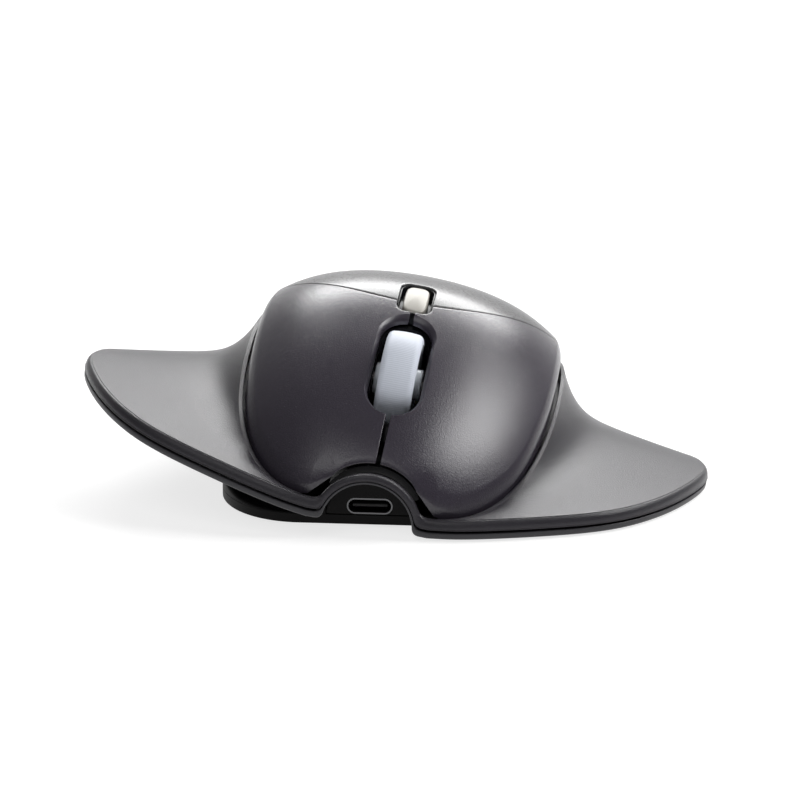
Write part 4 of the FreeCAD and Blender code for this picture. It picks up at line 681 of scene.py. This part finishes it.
# ridge line, then the border falls away in a quarter oval
edge_pt = RIM.copy()
drop_h = EDGE_T - LOW_T - RIM_GAP
for i in range(0, 12):
    t = i / 11 * math.pi / 2
    f = math.sin(t)
    p = pc_ + (edge_pt - pc_) * f
    p[:, 2] = pc_[:, 2] * (1 - f) + edge_pt[:, 2] * f - 0.10 - (drop_h - 0.32) * (1 - math.cos(t))
    add(p, A_OUT - 0.03 - (A_OUT - A_IN - 0.12) * (1 - math.cos(t)), -0.12 - 0.62 * math.sin(t))
low = RIM.copy()
low[:, 2] -= drop_h
for dz, dn, dr, dq in ((0.20, 0.07, 0.09, -0.80), (0.13, 0.09, 0.06, -0.82), (0.05, 0.07, 0.02, -0.80), (0.0, 0.0, 0.0, -0.72)):
    p = low.copy()
    p[:, :2] += NO * dn
    p[:, 2] += dz
    add(p, A_IN + dr, dq)
for dn, dq in ((-0.5, -0.3), (-2.0, 1.0)):
    p = low.copy()
    p[:, :2] += NO * dn
    p[:, 2] = under_z(p[:, 0]) + LOW_T + RIM_GAP
    add(p, A_IN, dq)
for r, dq in ((0.72, 2.0), (0.5, 2.6), (0.3, 3.2), (0.15, 3.8)):
    p = wing(sw, r)
    p[:, 2] = np.maximum(p[:, 2] - 1.8, under_z(p[:, 0]) + LOW_T + RIM_GAP)
    add(p, A_IN, dq)
p = collar(sw, LIP + 0.0)
p[:, 2] = np.maximum(zl - 0.8, under_z(p[:, 0]) + LOW_T + RIM_GAP)
add(p, A_IN, 4.6)
G = with_arch(np.stack(prof, 1), rho, qe)
make("wing_skin", G.reshape(-1, 3), quads(G.shape[0], G.shape[1], True, True), M["wing"], "shell", ["wing_upper_shell"], angle=30)

# lower shell: edge band, underside and the opening round the base
FX, MQ, RQ0, BF, BR, BH = 14.0, 30.0, 60.0, 7.0, 96.0, 31.8


def base_loop(grow, n=720):
    """base's outline grown by grow, by the angle round (0, 50): angles and radii"""
    pts = []
    for x in np.linspace(-FX, FX, 60):
        pts.append((x, BF - grow))
    for a in np.linspace(-math.pi / 2, 0, 90):
        pts.append((FX + (BH - FX + grow) * math.cos(a), MQ + (MQ - BF + grow) * math.sin(a)))
    for q in np.linspace(MQ, RQ0, 40):
        pts.append((BH + grow, q))
    for a in np.linspace(0, math.pi, 180):
        pts.append(((BH + grow) * math.cos(a), RQ0 + (BR - RQ0 + grow) * math.sin(a)))
    for q in np.linspace(RQ0, MQ, 40):
        pts.append((-BH - grow, q))
    for a in np.linspace(math.pi, 1.5 * math.pi, 90):
        pts.append((-FX + (BH - FX + grow) * math.cos(a), MQ + (MQ - BF + grow) * math.sin(a)))
    return np.array(pts)


def ray_radius(loop, ang):
    a = np.unwrap(np.arctan2(loop[:, 1] - 50, loop[:, 0]))
    r = np.hypot(loop[:, 0], loop[:, 1] - 50)
    o = np.argsort(a)
    a, r = a[o], r[o]
    a = np.concatenate([a - 2 * math.pi, a, a + 2 * math.pi])
    r = np.concatenate([r, r, r])
    return np.interp(ang, a, r)


ang = np.unwrap(np.arctan2(RIM[:, 1] - 50, RIM[:, 0]))
rr = ray_radius(base_loop(1.9), ang)
OPEN = np.stack([rr * np.cos(ang), 50 + rr * np.sin(ang)], -1)
prof, rho, qe = [], [], []
L_IN, L_OUT = 8.85, 9.32


def lower_pt(f, dn, zt, r, q):
    """f 0 at the edge, 1 at the opening; dn out of the edge; zt 0 underside, 1 top"""
    xy = RIM[:, :2] + (OPEN - RIM[:, :2]) * f + NO * dn
    z = under_z(xy[:, 0]) + LOW_T * zt
    add(np.concatenate([xy, z[:, None]], 1), r, q)


lower_pt(1.0, 0, 1.0, L_OUT, 4.9)
lower_pt(0.5, 0, 1.0, L_OUT, 2.0)
lower_pt(0.0, -0.45, 1.0, L_OUT, -0.35)
for a in (0, 30, 60, 90):
    t = math.radians(a)
    lower_pt(0.0, -0.20 * (1 - math.sin(t)), 1 - 0.14 * (1 - math.cos(t)), L_OUT - 0.1 * (1 - math.cos(t)), -0.8 + 0.2 * (1 - math.sin(t)))
for a in (0, 20, 40, 60, 80, 90):
    t = math.radians(a)
    lower_pt(0.0, -0.55 * (1 - math.cos(t)), 0.42 * (1 - math.sin(t)), L_IN + 0.14 * (1 - math.sin(t)), -0.8 + 0.4 * (1 - math.cos(t)))
for f in (0.08, 0.2, 0.4, 0.6, 0.8, 0.95):
    lower_pt(f, 0, 0.0, L_IN, -0.3 + 5.0 * f)
lower_pt(0.99, 0, 0.05, L_IN, 4.8)
lower_pt(1.0, 0, 0.2, L_IN + 0.1, 4.9)
G = with_arch(np.stack(prof, 1), rho, qe)
make("underside_skin", G.reshape(-1, 3), quads(G.shape[0], G.shape[1], True, True), M["lower"], "shell", ["wing_lower_shell"], angle=30)

# ---------------------------------------------------------------- wheel


def lathe_x(profile, n, q0, z0, ribs=None):
    """profile (x, r) turned about a line along x; ribs(x, angle) moves a point outwards"""
    pr = np.array(profile, float)
    a = np.linspace(0, 2 * math.pi, n, endpoint=False)
    r = np.repeat(pr[None, :, 1], n, 0)
    x = np.repeat(pr[None, :, 0], n, 0)
    if ribs is not None:
        r = r + ribs(x, a[:, None], r)
    q = q0 + r * np.cos(a)[:, None]
    z = z0 + r * np.sin(a)[:, None]
    return np.stack([x, q, z], -1).reshape(-1, 3), quads(n, len(pr), True, True)


hw, cr = WHEEL_W / 2, 1.35
pr = [(-hw, 8.05), (-hw, 8.3)]
for a in np.linspace(0, math.pi / 2, 9):
    pr.append((-hw + cr * (1 - math.cos(a)), WHEEL_R - 0.18 - cr * (1 - math.sin(a))))
for x in np.linspace(-hw + cr, hw - cr, 9)[1:-1]:
    pr.append((x, WHEEL_R - 0.18 + 0.14 * (1 - (x / (hw - cr)) ** 2)))
for a in np.linspace(math.pi / 2, 0, 9):
    pr.append((hw - cr * (1 - math.cos(a)), WHEEL_R - 0.18 - cr * (1 - math.sin(a))))
pr += [(hw, 8.3), (hw, 8.05)]
NR = 150


def rib(x, a, r):
    s = np.cos(NR * a)
    return np.where(r > WHEEL_R - 0.9, 0.011 * np.sign(s) * np.abs(s) ** 0.7, 0.0)


V3, F = lathe_x(pr, NR * 6, WHEEL_Q, WHEEL_Z, rib)
make("tyre_ribbed", V3, F, M["tyre"], "wheel", ["wheel_tyre"], angle=60)
pr = [(-4.7, 1.1), (-4.7, 2.9), (-4.66, 3.0), (-4.5, 3.1), (-3.3, 3.1), (-3.1, 3.3), (-2.9, 6.6), (-3.1, 6.9), (-3.45, 7.1), (-3.5, 7.3),
      (-3.5, 7.9), (-3.4, 8.0), (3.4, 8.0), (3.5, 7.9), (3.5, 7.3), (3.45, 7.1), (3.1, 6.9), (2.9, 6.6), (3.1, 3.3), (3.3, 3.1), (4.5, 3.1),
      (4.66, 3.0), (4.7, 2.9), (4.7, 1.1)]
V3, F = lathe_x(pr, 96, WHEEL_Q, WHEEL_Z)
make("hub_turned", V3, F, M["hub"], "wheel", ["wheel_hub"])

# ---------------------------------------------------------------- small button behind the wheel


def pillow(name, w, l, c, r, body, mat, node, top_off, deep, bulge, rnd, waist=0.0):
    """a cap that follows the dome: rounded outline, rounded top edge"""
    loop = rounded(w, l, c, 0.0, 0.25, r)
    ctr = np.array([0.0, c])
    d = loop - ctr
    # sides bow out towards the middle
    bow = 1 - waist * (d[:, 1] / (l / 2)) ** 2
    d[:, 0] *= bow
    nn = np.roll(d, -1, 0) - np.roll(d, 1, 0)
    nn = np.stack([nn[:, 1], -nn[:, 0]], -1)
    nn /= np.linalg.norm(nn, axis=1, keepdims=True)
    rows = []
    zt = lambda p: dome(p[:, 0], p[:, 1]) - top_off
    for t, dz in ((0, -deep), (0, -deep * 0.5)):
        p = ctr + d
        rows.append(np.stack([p[:, 0], p[:, 1], zt(p) + dz], -1))
    for a in np.linspace(0, math.pi / 2, 8):
        p = ctr + d - nn * rnd * (1 - math.cos(a))
        rows.append(np.stack([p[:, 0], p[:, 1], zt(p) - rnd * (1 - math.sin(a))], -1))
    for k in (0.85, 0.65, 0.42, 0.2, 0.05, 0.0):
        p = ctr + (d - nn * rnd) * k
        rows.append(np.stack([p[:, 0], p[:, 1], zt(p) + bulge * (1 - k * k)], -1))
    G = np.stack(rows, 0)
    F = quads(G.shape[0], G.shape[1], False, True)
    F.append(list(range(G.shape[1]))[::-1])
    return make(name, G.reshape(-1, 3), F, mat, body, [node] if node else (), angle=50)


pillow("small_cap", CAP_W, CAP_L - 0.4, DPI_Q, 1.7, "dpi_cap", M["cap"], "dpi_button", 0.25, 1.3, 0.22, 0.45, waist=0.10)

def well(name, w, l, c, r, wall, top, floor_z, under, mat, body):
    """black cup under the small button, its rim a little below the dome"""
    loop = rounded(w, l, c, 0.0, 0.25, r)
    ctr = np.array([0.0, c])
    nn = np.roll(loop, -1, 0) - np.roll(loop, 1, 0)
    nn = np.stack([nn[:, 1], -nn[:, 0]], -1)
    nn /= np.linalg.norm(nn, axis=1, keepdims=True)
    rows = []
    for k, off, dz in ((0.0, 0, under), (0.5, 0, under), (1, 0, under), (1, 0, top + 0.1), (1, 0.03, top + 0.03), (1, 0.10, top), (1, wall - 0.10, top),
                       (1, wall - 0.03, top + 0.03), (1, wall, top + 0.1), (1, wall, floor_z - 0.2), (1, wall + 0.1, floor_z - 0.03),
                       (1, wall + 0.25, floor_z), (0.5, wall, floor_z), (0.0, wall, floor_z)):
        p = ctr + (loop - ctr - nn * off) * k
        rows.append(np.stack([p[:, 0], p[:, 1], dome(p[:, 0], p[:, 1]) - dz], -1))
    G = np.stack(rows, 0)
    return make(name, G.reshape(-1, 3), quads(G.shape[0], G.shape[1], False, True), mat, body, (), angle=40)


well("cap_well", DPI_W - 0.06, DPI_L - 0.06, DPI_Q, DPI_R, 0.35, 0.42, 2.35, 2.75, M["gloss"], "shell")

# ---------------------------------------------------------------- base: deck with its round nose


def deck_top(x, q):
    side = np.interp(q, [5, 13.5, 18.5, 24.0], [2.75, 3.5, 4.35, 5.4])
    t = np.clip((np.abs(x) - 9.3) / 0.5, 0, 1)
    return 5.4 * (1 - t) + np.minimum(side, 5.4) * t


NB = 600
th = np.linspace(0, 2 * math.pi, NB, endpoint=False)
r0 = ray_radius(base_loop(0.0), th)


def deck_row(off, dz, scale=1.0, low=False):
    r = (r0 - off) * scale
    x, q = r * np.cos(th), 50 + r * np.sin(th)
    q = np.where((np.abs(x) < 8.6) & (q < 14.5), 14.5, q)
    z = np.full_like(x, 2.6) + dz if low else deck_top(x, q) + dz
    return np.stack([x, q, z], -1)


rows = [deck_row(0.9, 0.6 if k < 0.9 else 0.02, k, True) for k in (0.0, 0.4, 0.8, 1.0)]
rows += [deck_row(0.10, 0.02, 1, True), deck_row(0.0, 0.12, 1, True)]
body_z = deck_row(0.0, 0.0)
for a in np.linspace(0, math.pi / 2, 8):
    rr_ = np.minimum(0.55, (body_z[:, 2] - 2.75))
    row = deck_row(0.55 * (1 - math.cos(a)), 0.0)
    row[:, 2] -= np.maximum(rr_, 0.1) * (1 - math.sin(a))
    rows.append(row)
rows += [deck_row(0.9, 0.0, k) for k in (0.97, 0.93, 0.88, 0.8, 0.6, 0.4, 0.2, 0.0)]
G = np.stack(rows, 0)
V_deck, F_deck = G.reshape(-1, 3), quads(G.shape[0], G.shape[1], False, True)

NOSE_R, USB_Z = 8.7, 4.5
tn = np.linspace(0, 2 * math.pi, 240, endpoint=False)


def star(loop):
    """radius of a closed loop about the socket's middle, at even angles"""
    a = np.unwrap(np.arctan2(loop[:, 1] - USB_Z, loop[:, 0]))
    r = np.hypot(loop[:, 0], loop[:, 1] - USB_Z)
    o = np.argsort(a)
    a, r = a[o], r[o]
    return np.interp(tn, np.concatenate([a - 2 * math.pi, a, a + 2 * math.pi]), np.concatenate([r, r, r]))


def nose_loop(off, low):
    r = NOSE_R - off
    a0 = math.asin((low + off - ZA) / r)
    arc = [(r * math.cos(a), ZA + r * math.sin(a)) for a in np.linspace(a0, math.pi - a0, 200)]
    bottom = [(x, low + off) for x in np.linspace(-r * math.cos(a0), r * math.cos(a0), 120)[1:-1]]
    return star(np.array(arc + bottom))


def socket_loop(off):
    k, r = (8.94 - 3.16) / 2, 3.16 / 2 + 0.05 + off
    pts = [(k + r * math.cos(a), USB_Z + r * math.sin(a)) for a in np.linspace(-math.pi / 2, math.pi / 2, 60)]
    pts += [(x, USB_Z + r) for x in np.linspace(k, -k, 40)[1:-1]]
    pts += [(-k + r * math.cos(a), USB_Z + r * math.sin(a)) for a in np.linspace(math.pi / 2, 1.5 * math.pi, 60)]
    pts += [(x, USB_Z - r) for x in np.linspace(-k, k, 40)[1:-1]]
    return star(np.array(pts))


def nose_row(r, q):
    return np.stack([r * np.cos(tn), np.full_like(tn, q), USB_Z + r * np.sin(tn)], -1)


o0, s0 = nose_loop(0.0, 2.62), socket_loop(0.0)
rows = [nose_row(o0 * 0, 13.0), nose_row(o0 * 0.5, 13.0), nose_row(o0, 13.0), nose_row(o0, 10.0)]
for a in np.linspace(0, math.pi / 2, 8):
    rows.append(nose_row(nose_loop(0.5 * (1 - math.cos(a)), 2.62), 7.48 - 0.5 * math.sin(a)))
o5 = nose_loop(0.5, 2.62)
s1 = socket_loop(0.12)
for k in (0.9, 0.6, 0.3, 0.1):
    rows.append(nose_row(s1 + (np.maximum(o5, s1 + 0.02) - s1) * k, 6.98))
for a in np.linspace(0, math.pi / 2, 5):
    rows.append(nose_row(socket_loop(0.12 * (1 - math.sin(a))), 6.98 + 0.12 * (1 - math.cos(a))))
rows += [nose_row(s0, 9.0), nose_row(s0, 12.6), nose_row(s0 * 0.5, 12.6), nose_row(s0 * 0, 12.6)]
G = np.stack(rows, 0)
V_nose, F_nose = G.reshape(-1, 3), quads(G.shape[0], G.shape[1], False, True, first=len(V_deck))
make("deck_skin", np.vstack([V_deck, V_nose]), F_deck + F_nose, M["base"], "base", ["base_deck"], place=on_base, angle=35)

# ---------------------------------------------------------------- floor, light, camera

floor = bpy.data.meshes.new("floor")
bm = bmesh.new()
bmesh.ops.create_grid(bm, x_segments=24, y_segments=24, size=1.0)
for v in bm.verts:
    v.co.x *= 3.0
    v.co.y = v.co.y * 3.0 + 1.2
bm.to_mesh(floor)
bm.free()
fo = bpy.data.objects.new("floor", floor)
bpy.context.scene.collection.objects.link(fo)
fm = bpy.data.materials.new("pale_floor")
nt, bs = nodes_of(fm)
tc = nt.nodes.new("ShaderNodeTexCoord").outputs["Object"]
n = noise(nt, 6.0, 2.0, 0.5, tc)
cr_ = ramp(nt, n.outputs["Fac"], [(0.3, 0.35), (0.7, 0.37)])
nt.links.new(cr_.outputs["Color"], bs.inputs["Base Color"])
bs.inputs["Roughness"].default_value = 0.8
bs.inputs["Specular IOR Level"].default_value = 0.1
bs.inputs["Emission Color"].default_value = (1, 1, 1, 1)
bs.inputs["Emission Strength"].default_value = 0.75
floor.materials.append(fm)

# soft studio: white above and behind, dimmer in front
world = bpy.data.worlds.new("studio")
bpy.context.scene.world = world
world.use_nodes = True
nt = world.node_tree
nt.nodes.clear()
out = nt.nodes.new("ShaderNodeOutputWorld")
bg = nt.nodes.new("ShaderNodeBackground")
nt.links.new(bg.outputs[0], out.inputs["Surface"])
tc = nt.nodes.new("ShaderNodeTexCoord")
dt = nt.nodes.new("ShaderNodeVectorMath")
dt.operation = "DOT_PRODUCT"
dt.inputs[1].default_value = (0.05, 0.985, 0.16)
nt.links.new(tc.outputs["Generated"], dt.inputs[0])
cr_ = ramp(nt, dt.outputs["Value"], [(0.0, 0.10), (0.45, 0.16), (0.75, 0.55), (0.93, 1.0)])
cr_.color_ramp.interpolation = "EASE"
nt.links.new(cr_.outputs["Color"], bg.inputs["Color"])
bg.inputs["Strength"].default_value = 1.0


def area(name, az, el, dist, sx, sy, radiance, col=(1, 1, 1)):
    """soft box seen from the object at azimuth az (from +Y towards +X) and elevation el"""
    l = bpy.data.lights.new(name, "AREA")
    l.shape = "RECTANGLE"
    l.size, l.size_y = sx, sy
    l.energy = math.pi * sx * sy * radiance
    l.color = col
    o = bpy.data.objects.new(name, l)
    bpy.context.scene.collection.objects.link(o)
    a, e = math.radians(az), math.radians(el)
    v = Vector((math.sin(a) * math.cos(e), math.cos(a) * math.cos(e), math.sin(e)))
    o.location = v * dist
    o.rotation_euler = (-v).to_track_quat("-Z", "Y").to_euler()
    return o


area("back_soft", 3, 42.5, 1.0, 0.95, 0.31, 10.6)
area("side_soft", 84, 47, 1.0, 0.50, 0.50, 9.0)
area("front_fill", 200, 50, 1.2, 0.8, 0.8, 1.6)

AZ, EL = math.radians(5.44), math.radians(14.78)
right = Vector((math.cos(AZ), math.sin(AZ), 0))
back = Vector((math.sin(AZ) * math.cos(EL), -math.cos(AZ) * math.cos(EL), math.sin(EL)))
up = Vector((-math.sin(AZ) * math.sin(EL), math.cos(AZ) * math.sin(EL), math.cos(EL)))
P0 = Vector((AX, YF, ZA))
cam_data = bpy.data.cameras.new("camera")
cam = bpy.data.objects.new("camera", cam_data)
bpy.context.scene.collection.objects.link(cam)
rot = Matrix((right, up, back)).transposed().to_4x4()
cam.matrix_world = Matrix.Translation((P0 + right * 6.54 + up * 24.6 + back * 700) / 1000) @ rot
cam_data.sensor_width = 36.0
cam_data.sensor_fit = "HORIZONTAL"
cam_data.lens = 163.8
cam_data.clip_start = 0.01
cam_data.clip_end = 20.0
cam_data.dof.use_dof = False
bpy.context.scene.camera = cam
bpy.context.scene.view_settings.view_transform = "Standard"
bpy.context.scene.view_settings.look = "None"
